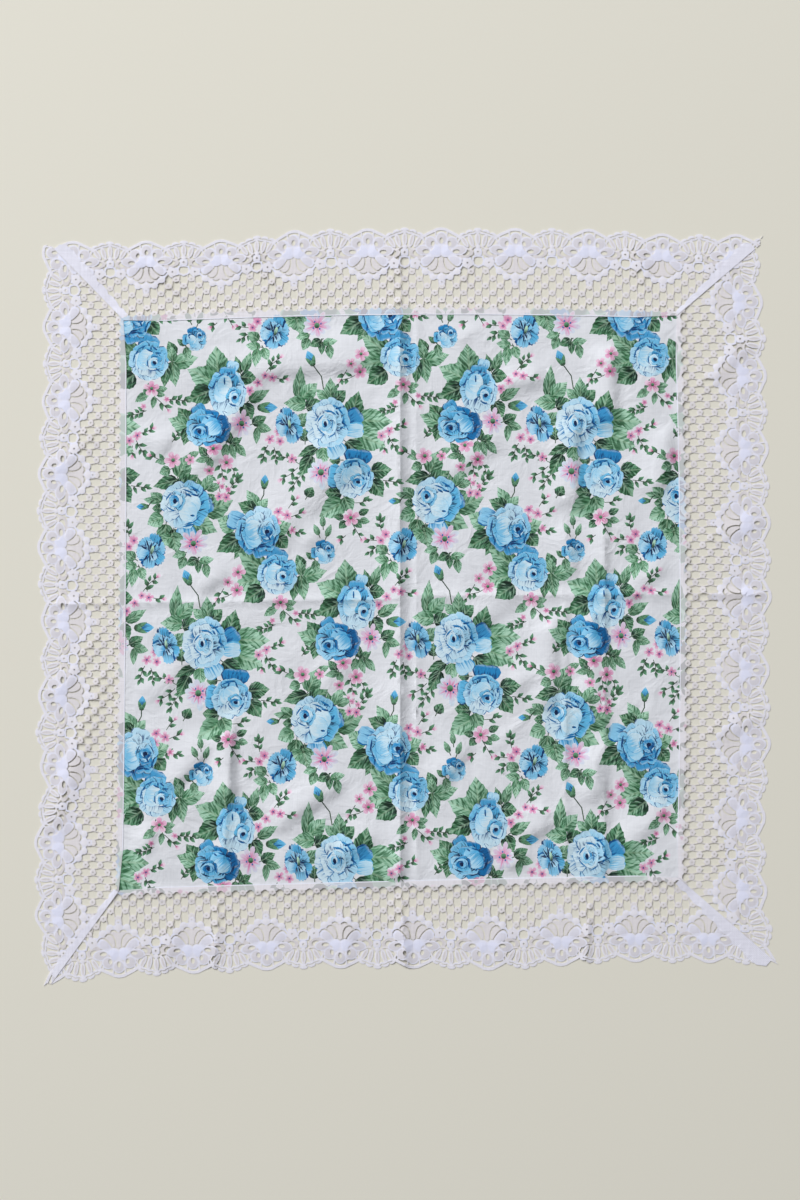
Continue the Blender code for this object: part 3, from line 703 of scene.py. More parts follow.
def turning_forms(side, mitres, yarn):
    """The mitre's turnings: a dense band along the seam, with an uneven edge."""
    forms = []
    for widths, mitre in zip(side.turnings, mitres):
        if widths is None:
            continue
        foot, tip, count = -0.002, mitre.length - 0.006, TURNING_STEPS
        near, far = [], []
        for k in range(count + 1):
            along = foot + (tip - foot) * k / count
            width = widths[0] + (widths[1] - widths[0]) * k / count
            width += (0.0008 * math.sin(k * 1.4) + 0.0005 * math.sin(k * 3.7)) * min(k, count - k, 2) / 2
            width *= min(1.0, 0.55 + 0.2 * (count - k))
            near.append(mitre.point(along, 0.0))
            far.append(mitre.point(along, width))
        forms.append(make_form(near + far[::-1], yarn["turning"], near[0], near[-1] - near[0],
                               far[0] - near[0]))
    return forms


def show_through(side, printed, yarn):
    """The print as it shows faintly through the heading, which lies on the panel's hem."""
    forms = []
    for form in printed:
        outs = out_of(side, np.array(form.outline))
        if outs.max() < -HEADING - 0.001 or outs.min() > 0:
            continue
        foot, tip = (between(yarn["heading"][0], tone, SHOW_THROUGH)[:3] for tone in form.finish)
        forms.append(form._replace(finish=((*foot, 0.1), (*tip, 0.1)), over=yarn["heading"]))
    return forms


def strip_forms(side, mitres, yarn, printed):
    """All forms that reach into the strip's room, undermost first."""
    length = (side.end.seam - side.start.seam).length
    shuffle = random.Random(side.name)
    first = math.floor((-OVERRUN - side.first_fan) / LACE_REPEAT)
    last = math.ceil((length + OVERRUN - side.first_fan) / LACE_REPEAT)
    forms = []
    for k in range(first, last + 1):
        fan = side.first_fan + k * LACE_REPEAT

        def place(point):
            along = fan + point.x * LACE_REPEAT / CHART_ALONG
            squares = CHART_OUT if point.y > 0 else CHART_HEADING
            out = point.y * (LACE_DEPTH if point.y > 0 else HEADING) / squares
            return lace_point(side, along, out)

        for form in lace_repeat(yarn, shuffle):
            form = mapped(form, place)
            if all(min(mitre.distance(p) for p in form.outline) > -MITRE_TRIM for mitre in mitres) or any(
                all(mitre.distance(p) > 0 for mitre in mitres) for p in form.outline
            ):
                forms.append(form)
    forms += show_through(side, printed, yarn)
    rail = [lace_point(side, length * k / RAIL_STEPS, -HEADING * 0.92) for k in range(-1, RAIL_STEPS + 2)]
    forms.append(ribbon(rail, HEADING * 0.16, yarn["rail"]))
    return forms + turning_forms(side, mitres, yarn)


def lay_lace(bm, side, settings):
    """Lays the strip on the hem and the folds, loose between its heading and its scallops."""
    places = np.array([vert.co.xy for vert in bm.verts])
    outs = out_of(side, places)
    base = cloth_heights(places[:, 0], places[:, 1], np.maximum(outs, 0.0))
    base += (HEM_THICKNESS + settings.lie) * (1 - ease(outs / DROP_WIDTH))
    loose = ease(outs / LOOSE_WIDTH) * (0.15 + ease((LOOSE_END - outs) / LOOSE_WIDTH)) * settings.waviness
    for vert, height, wave in zip(bm.verts, base, loose):
        wave *= 0.6 + noise.noise(Vector((vert.co.x, vert.co.y, 5)) * LACE_WAVES)
        vert.co.z = height + settings.lie + max(wave, 0.0)


def thicken(raised, side, settings, mitres, swollen):
    """Lifts the upper face of the lace, more where it swells and where it is turned over."""
    turned = [(mitre, widths) for mitre, widths in zip(mitres, side.turnings) if widths]
    for vert in raised:
        spot = vert.co.xy
        extra = settings.thickness + swollen.get(spot.copy().freeze(), 0.0)
        for mitre, widths in turned:
            share = min(max((spot - mitre.corner.seam).dot(mitre.line) / mitre.length, 0.0), 1.0)
            if mitre.distance(spot) < widths[0] + (widths[1] - widths[0]) * share - 0.0002:
                extra = settings.thickness * TURNING_PLIES
        vert.co.z += extra


def make_strip(side, settings, material, printed):
    """One strip of lace, cut to its mitres and laid on the cloth's folds."""
    run = side.end.seam - side.start.seam
    mitres = (Mitre(side.start, run), Mitre(side.end, -run))
    noise.seed_set(NOISE_SEED)  # noise_vector starts from the clock otherwise
    yarn = lace_finishes(settings)
    forms = strip_forms(side, mitres, yarn, printed)
    spots = [p for form in forms if form.rise for p in inner_points(form)]
    bm = arranged(strip_boundary(side, mitres), forms, spots=spots)
    topmost = bm.faces.layers.int["form"]
    bmesh.ops.delete(bm, geom=[face for face in bm.faces if face[topmost] == 0], context="FACES")
    swollen = {vert.co.xy.copy().freeze(): rise * SWELL for vert, rise in swell(bm, forms).items()}
    made = bmesh.ops.extrude_face_region(bm, geom=bm.faces[:])
    lay_lace(bm, side, settings)
    raised = [item for item in made["geom"] if isinstance(item, bmesh.types.BMVert)]
    thicken(raised, side, settings, mitres, swollen)
    bmesh.ops.recalc_face_normals(bm, faces=bm.faces[:])
    return add_piece("lace_edging_" + side.name, bm, forms, yarn["net"], material, False)


def out_of(side, places):
    """How far out from the heading each of the places lies."""
    run = side.end.seam - side.start.seam
    along = (places - np.array(side.start.seam)) @ np.array(run.normalized()) / run.length
    out = (places - np.array(side.start.seam)) @ np.array(outward(side))
    return out - side.bow * 4 * np.maximum(along * (1 - along), 0.0)


# Print chart

PETAL = ((0, 0), (0.45, 0.08), (0.85, 0.38), (1, 0.68), (0.82, 0.93), (0.42, 1.0), (0, 0.95),
         (-0.42, 1.0), (-0.82, 0.93), (-1, 0.68), (-0.85, 0.38), (-0.45, 0.08))
RUFFLED = ((0, 0), (0.42, 0.08), (0.82, 0.28), (1, 0.52), (0.88, 0.68), (0.96, 0.84), (0.62, 0.90),
           (0.5, 1.0), (0.15, 0.94), (-0.12, 1.03), (-0.45, 0.93), (-0.62, 0.98), (-0.92, 0.84),
           (-0.86, 0.66), (-1, 0.5), (-0.8, 0.27), (-0.4, 0.08))
NARROW = ((0, 0), (0.8, 0.42), (1, 0.8), (0.45, 1), (-0.45, 1), (-1, 0.8), (-0.8, 0.42))
LARGE_LEAF = mirrored(((0, 0), (0.50, 0.04), (0.86, 0.18), (0.87, 0.25), (1.0, 0.37), (0.95, 0.43),
                       (0.91, 0.56), (0.75, 0.61), (0.60, 0.77), (0.47, 0.79), (0.2, 0.94), (0, 1.06)))
SMALL_LEAF = mirrored(((0, 0), (0.60, 0.10), (1, 0.38), (0.76, 0.68), (0.3, 0.92), (0, 1.04)))
LEAFLET = ((0, 0), (0.90, 0.26), (0.80, 0.68), (0, 1.04), (-1.0, 0.44))

LEAF_LENGTH, LEAF_WIDTH = 1.11, 1.30
L, M, D = "light", "middle", "dark"
# x, y of the middle, length, width, direction of the tip in degrees, tone
LEAVES = (
    (92, 45, 25, 18, 95, M), (77, 60, 26, 19, 155, L), (75, 79, 22, 17, 205, D), (113, 49, 16, 7, 107, D),
    (122, 46, 18, 8, 72, M), (123, 62, 14, 12, -5, D), (134, 80, 20, 9, 30, M), (123, 96, 16, 12, -62, D),
    (134, 105, 14, 9, 28, D), (139, 113, 13, 8, -15, M), (132, 120, 15, 6, -93, M),
    (60, 100, 18, 13, 128, D), (55, 107, 20, 13, 157, L), (62, 120, 16, 10, -105, D),
    (104, 121, 13, 7, 100, D), (111, 126, 13, 7, 35, D), (101, 136, 14, 7, -95, M),
    (108, 136, 14, 6, -70, M), (116, 135, 14, 7, -50, M), (79, 136, 12, 7, 130, D),
    (78, 144, 12, 6, 190, M), (86, 148, 10, 6, -80, M), (128, 20, 12, 9, 146, M), (128, 30, 13, 8, 172, L),
    (131, 42, 16, 8, -97, L), (140, 38, 12, 8, -68, L), (172, 7, 17, 15, -75, M), (162, 5, 14, 10, 200, L),
    (177, 20, 12, 7, 197, L), (180, 28, 12, 8, -112, M), (190, 27, 11, 8, 210, D), (196, 32, 12, 6, -90, D),
    (204, 26, 13, 7, 10, L), (204, 36, 13, 7, -80, M), (174, 67, 28, 10, 85, M), (184, 75, 18, 13, 45, L),
    (170, 88, 19, 13, 178, L), (189, 90, 16, 14, 20, D), (179, 104, 17, 11, 30, M),
    (196, 79, 12, 8, 135, L), (205, 74, 20, 11, 92, M), (214, 81, 14, 11, 45, D), (180, 120, 12, 11, 90, D),
    (229, 91, 26, 16, 75, D), (249, 106, 30, 20, -3, L), (245, 125, 28, 22, -25, L),
    (230, 136, 23, 16, -42, D), (183, 137, 19, 9, 205, D), (198, 142, 16, 11, -90, L),
    (181, 151, 21, 12, -118, D), (210, 146, 10, 8, 180, D), (256, 156, 18, 14, 5, D),
    (252, 174, 18, 14, -55, D), (209, 179, 15, 13, 175, D), (207, 195, 24, 18, 212, L),
    (223, 191, 16, 12, -65, M), (214, 203, 9, 6, 170, D), (218, 211, 9, 7, 225, D),
    (233, 210, 10, 7, -45, D), (239, 198, 10, 6, 25, D), (240, 207, 9, 6, -10, M), (198, 207, 11, 5, 95, M),
    (192, 216, 11, 5, 115, M), (204, 217, 12, 5, 70, M), (56, 26, 9, 5, 140, D), (62, 37, 12, 7, -80, M),
    (47, 38, 14, 8, 95, M), (42, 167, 21, 12, 195, D), (59, 150, 22, 15, 65, M), (64, 166, 20, 15, 35, D),
    (76, 171, 17, 7, 105, D), (84, 166, 16, 9, 62, L), (89, 172, 13, 7, 15, M), (86, 182, 11, 7, 15, D),
    (94, 191, 26, 19, 22, M), (79, 210, 26, 17, -25, M), (41, 219, 20, 13, -98, M),
    (52, 225, 22, 11, -82, D), (34, 192, 9, 8, 180, D), (33, 181, 13, 9, 143, M), (32, 204, 15, 13, 205, L),
    (38, 145, 10, 6, 185, M), (41, 155, 10, 9, 200, M), (69, 139, 12, 6, 25, M), (28, 184, 14, 6, 170, M),
    (128, 184, 18, 10, 122, L), (123, 192, 17, 12, 155, D), (138, 190, 14, 9, 50, L),
    (103, 208, 18, 16, 155, L), (105, 229, 24, 16, 212, D), (116, 235, 18, 9, -122, D),
    (158, 213, 16, 13, 25, L), (158, 228, 13, 12, -50, D), (128, 247, 27, 18, 147, M),
    (124, 267, 22, 20, 195, L), (130, 280, 20, 16, 215, D), (176, 248, 14, 9, 115, D),
    (190, 260, 21, 13, 15, L), (178, 273, 22, 11, -80, M), (170, 275, 20, 9, -95, D),
    (185, 178, 10, 9, 60, D), (17, 81, 13, 7, 215, M), (22, 76, 12, 6, -100, M), (37, 73, 10, 6, 10, M),
    (36, 78, 8, 5, -10, M), (29, 86, 11, 5, -100, M),
)
# x, y of the foot, direction, length, pairs of leaflets, and whether a pink bud ends it
SPRIGS = (
    (48, 126, 60, 12, 3, False), (141, 56, 45, 20, 3, True), (145, 56, 78, 10, 2, False),
    (150, 62, -8, 11, 1, True), (125, 16, 215, 11, 2, False), (124, 11, 172, 12, 1, True),
    (143, 130, -110, 14, 3, False), (149, 132, -80, 12, 3, False), (174, 149, 155, 18, 3, False),
    (173, 153, 215, 20, 3, True), (181, 157, 230, 20, 4, False), (266, 114, 20, 14, 3, True),
    (263, 121, -60, 14, 3, False), (259, 126, -90, 10, 2, True), (96, 147, -80, 16, 3, True),
    (105, 149, -65, 15, 3, False), (102, 181, 55, 22, 4, False), (96, 177, 100, 9, 1, True),
    (42, 144, 162, 16, 3, True), (166, 203, 20, 13, 2, True), (161, 216, -10, 15, 3, False),
    (164, 194, 50, 13, 1, True), (227, 209, -60, 19, 1, True), (221, 222, 215, 7, 1, True),
    (43, 83, -5, 18, 4, False), (22, 94, 197, 16, 4, False), (32, 82, -45, 16, 1, True),
    (258, 166, -8, 15, 3, False), (230, 189, 12, 12, 2, False), (6, 220, 95, 12, 3, False),
    (86, 157, -85, 6, 1, False), (111, 277, 200, 18, 1, True), (100, 273, 240, 16, 2, False),
    (122, 16, -60, 7, 1, False),
)
# x, y, radius, and whether the centre is a green eye instead of a blue dot
BLOSSOMS = (
    (125, 75, 4.8, False), (133, 67, 4.8, False), (140, 60, 4.2, False), (147, 62, 4.6, False),
    (127, 11, 4.6, False), (132, 5, 4.6, False), (153, 116, 4.6, False), (145, 124, 4.8, False),
    (155, 126, 4.8, False), (256, 121, 4.8, False), (264, 116, 4.6, False), (95, 181, 4.8, False),
    (102, 182, 4.8, False), (98, 171, 3.2, False), (104, 174, 3.2, False), (154, 197, 4.8, False),
    (163, 201, 5.2, False), (153, 206, 4.6, False), (27, 72, 7.5, True), (49, 144, 8.5, True),
    (66, 144, 5, True), (89, 133, 8, True), (102, 147, 7.5, True), (85, 155, 5.4, True),
    (226, 204, 8, True), (114, 257, 7, True), (104, 267, 5.6, True), (113, 275, 7, True),
    (42, 83, 3, False), (19, 90, 3.2, False), (168, 216, 3.6, False), (167, 144, 4.6, False),
    (10, 222, 4.6, False), (5, 229, 4.6, False),
)
# x, y, half width, half height, x and y of the heart from the middle, direction of the deep side,
# the tone, from 0 for navy to 1 for white, and the number of outer petals where it isn't seven
ROSES = (
    (134, 218, 21, 24, 9, 1, -90, 0.62), (153, 260, 19, 19, 6, -2, 60, 0.74),
    (83, 112, 20, 18, -8, -4, 20, 0.50), (102, 76, 18, 23, 8, -6, 110, 0.72),
    (202, 109, 20, 24, -2, 0, 10, 0.86), (229, 163, 19, 19, 4, -5, 70, 0.76),
    (61, 190, 22, 23, -10, 5, 0, 0.80), (70, 23, 11.5, 11.5, 5, 4, 90, 0.62, 5),
)
# x, y of the foot, direction, length, width, tone at the foot and at the tip
LOOSE_PETALS = (
    (216, 112, 35, 24, 17, 0.22, 0.46), (216, 116, 0, 22, 15, 0.60, 0.90),
    (206, 126, -65, 19, 19, 0.50, 0.86), (220, 163, 172, 17, 24, 0.10, 0.60),
    (232, 152, 82, 17, 28, 0.12, 0.42), (106, 58, 75, 13, 12, 0.50, 0.84),
    (66, 195, 15, 24, 15, 0.16, 0.44), (60, 206, -82, 20, 20, 0.46, 0.84),
    (125, 208, 165, 22, 18, 0.30, 0.70), (146, 256, 60, 24, 20, 0.22, 0.50),
    (89, 113, -18, 17, 20, 0.08, 0.36), (80, 102, 125, 16, 14, 0.10, 0.50),
)
# x, y, half width, half height, turn
RUFFLED_FLOWERS = ((148, 16, 15, 16, 0), (163, 111, 13, 17, 20))
# x, y, radius, pink strength
DAISIES = ((117, 108, 12.5, 0.55), (191, 9, 13, 0.55), (196, 158, 15, 0.30))
# x, y of the middle, length, direction, then the far end of the stem or None
STEM_BUDS = (
    (185, 43, 15, 112, (198, 74)), (140, 167, 13, 85, (136, 186)), (142, 92, 18, 0, None),
    (19, 190, 11, 180, (30, 184)),
)

# How far the laid cloth is pulled out of square: squares to the right and down, at six places across
# in each of six rows, from the upper left
PULL_CORNER = (-0.2712, 0.2798)
PULL_STEP = (0.1072, 0.1083)
PULL = (
    ((0.5, 1.9), (0.8, 1.9), (1.1, 1.9), (0.6, 2.7), (-0.3, 4.1), (-1.1, 5.3)),
    ((-0.8, 1.9), (-0.1, 0.8), (0.5, -0.1), (0.2, 0.6), (-0.6, 2.4), (-1.5, 3.5)),
    ((-1.7, 2.2), (-0.9, 0.1), (-0.3, -1.4), (-0.8, -0.8), (-1.3, 0.6), (-1.7, 1.6)),
    ((-1.9, 2.6), (-1.3, 0.4), (-0.4, -1.2), (-0.9, -0.8), (-1.1, -0.6), (-1.1, 0.2)),
    ((-1.3, 3.3), (-0.6, 1.5), (0.4, 0.5), (0.8, 0.4), (0.9, -0.3), (1.0, -0.3)),
    ((-0.4, 3.9), (0.8, 3.2), (2.1, 2.7), (3.2, 2.1), (3.6, 0.9), (3.8, -0.3)),
)


def pulled(place):
    """Where a place of the print comes to lie."""
    across = min(max((place.x - PULL_CORNER[0]) / PULL_STEP[0], 0.0), 4.999)
    down = min(max((PULL_CORNER[1] - place.y) / PULL_STEP[1], 0.0), 4.999)
    i, j = int(across), int(down)
    upper, lower = (Vector(PULL[row][i]).lerp(Vector(PULL[row][i + 1]), across - i) for row in (j, j + 1))
    pull = upper.lerp(lower, down - j) * PRINT_SQUARE
    return place + Vector((pull.x, -pull.y))


def print_inks(settings):
    """The inks by name, as linear colours."""
    return {
        "navy": tuple(settings.navy), "deep": tuple(settings.deep_blue), "blue": tuple(settings.blue),
        "sky": tuple(settings.sky_blue), "ice": ink(168, 215, 241), "white": ink(206, 229, 241),
        "leaf_light": ink(176, 218, 194), "leaf": tuple(settings.leaf), "leaf_dark": ink(38, 65, 46),
        "stem": ink(72, 96, 70), "pink": tuple(settings.pink), "pale_pink": ink(236, 211, 228),
        "rose_pink": ink(192, 100, 148),
    }


class PrintChart:
    """Draws the motifs of one repeat, undermost form first, on the chart's squares, y upwards."""

    def __init__(self, inks):
        self.inks = inks
        self.shuffle = random.Random(PRINT_SEED)
        self.forms = []

    def blue(self, level):
        """A blue between navy at 0 and white at 1."""
        steps = ("navy", "deep", "blue", "sky", "ice", "white")
        level = min(max(level, 0.0), 0.999) * (len(steps) - 1)
        low = int(level)
        return between(self.inks[steps[low]], self.inks[steps[low + 1]], level - low)

    def blues(self, foot, tip, streaks=0.5):
        return ((*self.blue(foot), 0.0), (*self.blue(tip), streaks))

    def mixed(self, first, second, share):
        return between(self.inks[first], self.inks[second], share)

    def finish(self, foot, tip, veins=0.0, streaks=0.5):
        """The finish between two inks, each given by its name or as a colour."""
        foot, tip = (self.inks[tone] if isinstance(tone, str) else tone for tone in (foot, tip))
        return ((*foot, veins), (*tip, streaks))

    def stem(self, path, width=1.1):
        self.forms.append(ribbon(path, width, self.finish("stem", "leaf_dark", 0, 0)))

    def leaf(self, x, y, length, width, turn, tone):
        foot, tip = {
            L: ("leaf", "leaf_light"),
            M: (self.mixed("leaf_dark", "leaf", 0.5), self.mixed("leaf", "leaf_light", 0.6)),
            D: (self.mixed("leaf_dark", "navy", 0.2), self.mixed("leaf_dark", "leaf", 0.85)),
        }[tone]
        profile = LARGE_LEAF if length > 15 else SMALL_LEAF
        length, width = length * LEAF_LENGTH, width * LEAF_WIDTH
        run = aimed(turn)
        start = Vector((x, y)) - run * length / 2
        self.stem([start - run * 3.0, start + run], 0.9)
        self.forms.append(shaped(profile, *start, turn, length, width, self.finish(foot, tip, 1.0, 0.7)))

    def sprig(self, x, y, turn, length, pairs, bud):
        """A twig with pairs of leaflets."""
        uniform, run, start = self.shuffle.uniform, aimed(turn), Vector((x, y))
        bend = Vector((-run.y, run.x)) * uniform(-0.08, 0.08) * length
        end = start + run * length
        self.stem([start, start + run * length / 2 + bend, end], 0.7)
        green = self.finish("leaf_dark", "leaf", 0.3, 0.5)
        joints = max(pairs - 1, 1)
        for k in range(joints):
            for hand in (-1, 1):
                spot = start + run * length * (k + 0.5 + 0.15 * hand) / joints + bend * 0.5
                lean = turn + hand * uniform(28, 58)
                self.forms.append(shaped(LEAFLET, *spot, lean, uniform(6.2, 9.0), uniform(3.6, 4.9), green))
        if bud:
            pink = self.finish("rose_pink", "pale_pink")
            self.forms.append(shaped(NARROW, *(end - run), turn, 5.2, 4.2, pink))
        else:
            self.forms.append(shaped(LEAFLET, *end, turn, 6.6, 3.6, green))

    def blossom(self, x, y, radius, eye):
        """A small pink flower of five petals."""
        uniform = self.shuffle.uniform
        turn = uniform(0, 72)
        for k in range(5):
            tip = self.mixed("pink", "pale_pink", uniform(0.1, 0.9))
            finish = self.finish("rose_pink", tip, 0.0, 0.9)
            length = radius * uniform(0.9, 1.15)
            self.forms.append(shaped(NARROW, x, y, turn + 72 * k, length, radius * 0.74, finish))
        if eye:
            green = self.finish("leaf_dark", "leaf")
            self.forms.append(ellipse(x, y, radius * 0.24, radius * 0.24, green, count=7))
        elif radius > 4:
            self.forms.append(ellipse(x, y, 0.9, 0.9, self.finish("deep", "deep"), count=5))

    def daisy(self, x, y, radius, strength):
        """A pink flower of ten narrow petals about a green eye with blue dots."""
        uniform = self.shuffle.uniform
        turn = uniform(0, 40)
        foot = self.mixed("pink", "rose_pink", strength * 0.5)
        streak, dot = self.finish("rose_pink", "pink", 0.0, 0.4), self.finish("deep", "blue")
        for k in range(10):
            angle, reach = turn + 36 * k, radius * uniform(0.74, 1.22)
            finish = self.finish(foot, self.mixed("white", "pink", strength * uniform(0.3, 1.0)), 0.0, 1.0)
            self.forms.append(shaped(NARROW, x, y, angle, reach, radius * 0.40, finish))
            angle, reach = angle + uniform(-9, 9), reach * uniform(0.6, 0.95)
            self.forms.append(shaped(LEAFLET, x, y, angle, reach, radius * 0.11, streak))
        for k in range(4):
            angle = math.radians(turn + 95 * k)
            spot = (x + 0.34 * radius * math.cos(angle), y + 0.34 * radius * math.sin(angle))
            self.forms.append(ellipse(*spot, 0.9, 1.2, dot, count=5))
        green = self.finish("leaf_dark", "leaf")
        self.forms.append(ellipse(x, y, radius * 0.21, radius * 0.23, green, count=9))

    def rose(self, x, y, wide, high, heart_x, heart_y, deep_side, tone, outer=7):
        """Rings of petals about a heart that lies off the middle, deeper towards one side."""
        uniform, petals = self.shuffle.uniform, []
        heart = Vector((heart_x / wide, heart_y / high))

        def ring(count, inside, outside, width, centre, foot, tip):
            first = uniform(0, 360)
            for k in range(count):
                turn = first + 360 * k / count + uniform(-9, 9)
                shade = 0.5 + 0.5 * math.cos(math.radians(turn - deep_side))
                length = outside * uniform(0.92, 1.08) - inside
                start = Vector(centre) + aimed(turn) * inside
                under = self.blues(foot - 0.34 * shade - 0.12, foot - 0.2 * shade, 0.8)
                upper = self.blues(foot - 0.40 * shade + uniform(-0.05, 0.03),
                                   tip - 0.40 * shade + uniform(-0.06, 0.08), 1.0)
                slip = self.shuffle.choice((-6, 6))
                petals.append(shaped(PETAL, *start, turn + slip, length, width * 0.98, under))
                petals.append(shaped(PETAL, *start, turn, length, width, upper))

        def stroke(centre, radius, turn, sweep, level):
            petals.append(crescent(*centre, radius, turn, sweep, uniform(0.05, 0.10),
                                   self.blues(level, level + 0.12, 0.6)))

        ring(outer, 0.30, 1.06, 0.92, (0, 0), tone - 0.46, tone + 0.20)
        for k in range(4):
            stroke((0, 0), uniform(0.78, 0.92), deep_side + uniform(-110, 110), 40, tone - 0.54)
        ring(4, 0.10, 0.80, 0.94, heart * 0.2, tone - 0.48, tone + 0.26)
        for k in range(3):
            stroke(heart * 0.2, uniform(0.56, 0.70), deep_side + uniform(-90, 90), 50, tone - 0.58)
        for side, tip in ((-1, 0.20), (1, 0.34)):
            bowl = Vector((-heart.y, heart.x)) * 0.35 * side - heart * 0.5
            turn = math.degrees(math.atan2(heart.y, heart.x)) - 90 + 14 * side
            hollow, wall = self.blues(tone - 0.16, tone + 0.1), self.blues(tone + 0.04, tone + tip, 0.8)
            petals.append(ellipse(*bowl, 0.46, 0.42, hollow, turn + 8, 14))
            petals.append(ellipse(*(bowl * 0.97), 0.43, 0.41, wall, turn, 14))
        ring(4, 0.0, 0.44, 0.60, heart * 0.9, tone - 0.54, tone + 0.22)
        for k in range(3):
            stroke(heart, 0.37 + 0.03 * k, deep_side + 120 * k + uniform(-30, 30), 75, tone - 0.56)
        for k, (size, lit, shaded) in enumerate(((0.31, 0.24, -0.16), (0.245, -0.1, -0.42),
                                                 (0.18, 0.16, -0.2), (0.12, -0.28, -0.55))):
            spot = heart + Vector((math.cos(2.3 * k + deep_side), math.sin(2.3 * k + deep_side))) * 0.05
            finish = self.blues(tone + shaded, tone + lit, 1.0)
            petals.append(ellipse(*spot, size, size * 0.92, finish, 130 * k + deep_side, 10))
        petals.append(ellipse(*heart, 0.09, 0.13, self.finish("navy", "navy"), deep_side, 6))
        for k in range(5):
            angle, reach = math.radians(deep_side + uniform(-85, 85)), uniform(0.48, 0.86)
            spot, long = (reach * math.cos(angle), reach * math.sin(angle)), uniform(0.1, 0.19)
            turn = math.degrees(angle) + uniform(-50, 50) - 90 * (k % 2)
            petals.append(ellipse(*spot, 0.05, long, self.blues(0.10, 0.30), turn, 6))
        for petal in petals:
            self.forms.append(mapped(petal, lambda p: Vector((x + p.x * wide, y + p.y * high))))

    def ruffled_flower(self, x, y, wide, high, turn):
        """An open flower with ruffled petals about a long green eye."""
        petals = []

        def petal(angle, reach, width, under_turn, under, finish):
            petals.append(shaped(RUFFLED, 0.05, 0.05, angle + under_turn, reach, width, under))
            petals.append(shaped(RUFFLED, 0.05, 0.05, angle, reach, width, finish))

        for angle, reach, width, tone in ((12, 0.98, 0.84, 0.46), (72, 1.10, 0.80, 0.32),
                                          (128, 0.94, 0.86, 0.44), (-42, 1.10, 0.78, 0.36),
                                          (-98, 1.12, 0.84, 0.46), (188, 0.96, 0.92, 0.56)):
            petal(angle, reach, width, self.shuffle.choice((-11, 11)), self.blues(0.02, tone - 0.24),
                  self.blues(tone - 0.40, tone + 0.22, 1.0))
        for angle, reach, width, tone in ((100, 0.62, 0.56, 0.42), (-66, 0.66, 0.52, 0.50),
                                          (38, 0.58, 0.48, 0.36)):
            petal(angle, reach, width, 8, self.blues(0.02, 0.14), self.blues(tone - 0.42, tone + 0.30, 1.0))
        petals.append(ellipse(-0.40, -0.12, 0.36, 0.34, self.blues(0.50, 0.84), 70, 12))
        navy = self.finish("navy", "navy")
        for angle in (45, 80, 110, -65, -90, -125, 150):
            length = self.shuffle.uniform(0.35, 0.6)
            petals.append(shaped(LEAFLET, *(aimed(angle) * 0.2), angle, length, 0.12, navy))
        petals.append(ellipse(0.14, 0.08, 0.11, 0.30, self.finish("leaf_dark", "leaf_light"), -15, 8))
        spin = Matrix.Rotation(math.radians(turn), 2)
        middle = Vector((x, y))
        for form in petals:
            self.forms.append(mapped(form, lambda p: middle + spin @ Vector((p.x * wide, p.y * high))))

    def loose_petal(self, x, y, turn, length, width, foot, tip):
        self.forms.append(shaped(PETAL, x, y, turn + 6, length * 1.02, width, self.blues(foot - 0.1, foot)))
        self.forms.append(shaped(PETAL, x, y, turn, length, width, self.blues(foot, tip, 1.0)))

    def stem_bud(self, x, y, length, turn, stem_end):
        """A closed bud in its sepals, on a bent stem."""
        run = aimed(turn)
        foot = Vector((x, y)) - run * length / 2
        if stem_end:
            end = Vector((stem_end[0], -stem_end[1]))
            bend = (foot + end) / 2 + Vector((run.y, -run.x)) * 0.12 * (end - foot).length
            self.stem([end, bend, foot])
        green = self.finish("leaf_dark", "leaf", 0.4, 0.5)
        for start, lean, long, wide, finish in (
            (foot + run * length * 0.15, 0, 0.9, 0.62, self.finish("deep", "sky", 0.0, 1.0)),
            (foot, -24, 0.72, 0.28, green), (foot, 24, 0.72, 0.28, green),
            (foot - run, 0, 0.42, 0.42, green),
        ):
            self.forms.append(shaped(SMALL_LEAF, *start, turn + lean, length * long, length * wide, finish))


def print_repeat(settings):
    """One repeat of the print on its chart."""
    chart = PrintChart(print_inks(settings))
    for rows, draw in ((SPRIGS, chart.sprig), (LEAVES, chart.leaf), (BLOSSOMS, chart.blossom),
                       (DAISIES, chart.daisy), (STEM_BUDS, chart.stem_bud),
                       (RUFFLED_FLOWERS, chart.ruffled_flower), (LOOSE_PETALS, chart.loose_petal),
                       (ROSES, chart.rose)):
        for x, y, *rest in rows:
            draw(x, -y, *rest)
    return chart.forms


def panel_corners():
    inset = PANEL_INSET
    return (BOTTOM_LEFT.seam + Vector((inset, inset)), BOTTOM_RIGHT.seam + Vector((-inset, inset)),
            TOP_RIGHT.seam + Vector((-inset, -inset)), TOP_LEFT.seam + Vector((inset, -inset)))


def panel_place(s, t):
    """A place on the panel from its shares of the width and the depth."""
    top, right, bottom, left = SIDES
    bottom_left, bottom_right, top_right, top_left = panel_corners()
    spot = bottom_left.lerp(bottom_right, s).lerp(top_left.lerp(top_right, s), t)
    spot.y += 4 * s * (1 - s) * (top.bow * t - bottom.bow * (1 - t))
    spot.x += 4 * t * (1 - t) * (right.bow * s - left.bow * (1 - s))
    return spot


def printed_forms(settings):
    """The print of the whole panel: its repeats wherever they reach it."""
    low, high, reach, forms = PANEL_LOW, PANEL_HIGH, PRINT_REACH, []
    drawn = print_repeat(settings)
    for i in range(-2, 5):
        for j in range(-2, 5):
            corner = PRINT_ACROSS * i + PRINT_DOWN * j
            shift = PRINT_CORNER + Vector((corner.x, -corner.y)) * PRINT_SQUARE
            for form in drawn:
                near = form.outline[0] * PRINT_SQUARE + shift
                if low.x - reach < near.x < high.x + reach and low.y - reach < near.y < high.y + reach:
                    forms.append(mapped(form, lambda p: pulled(p * PRINT_SQUARE + shift)))
    return forms


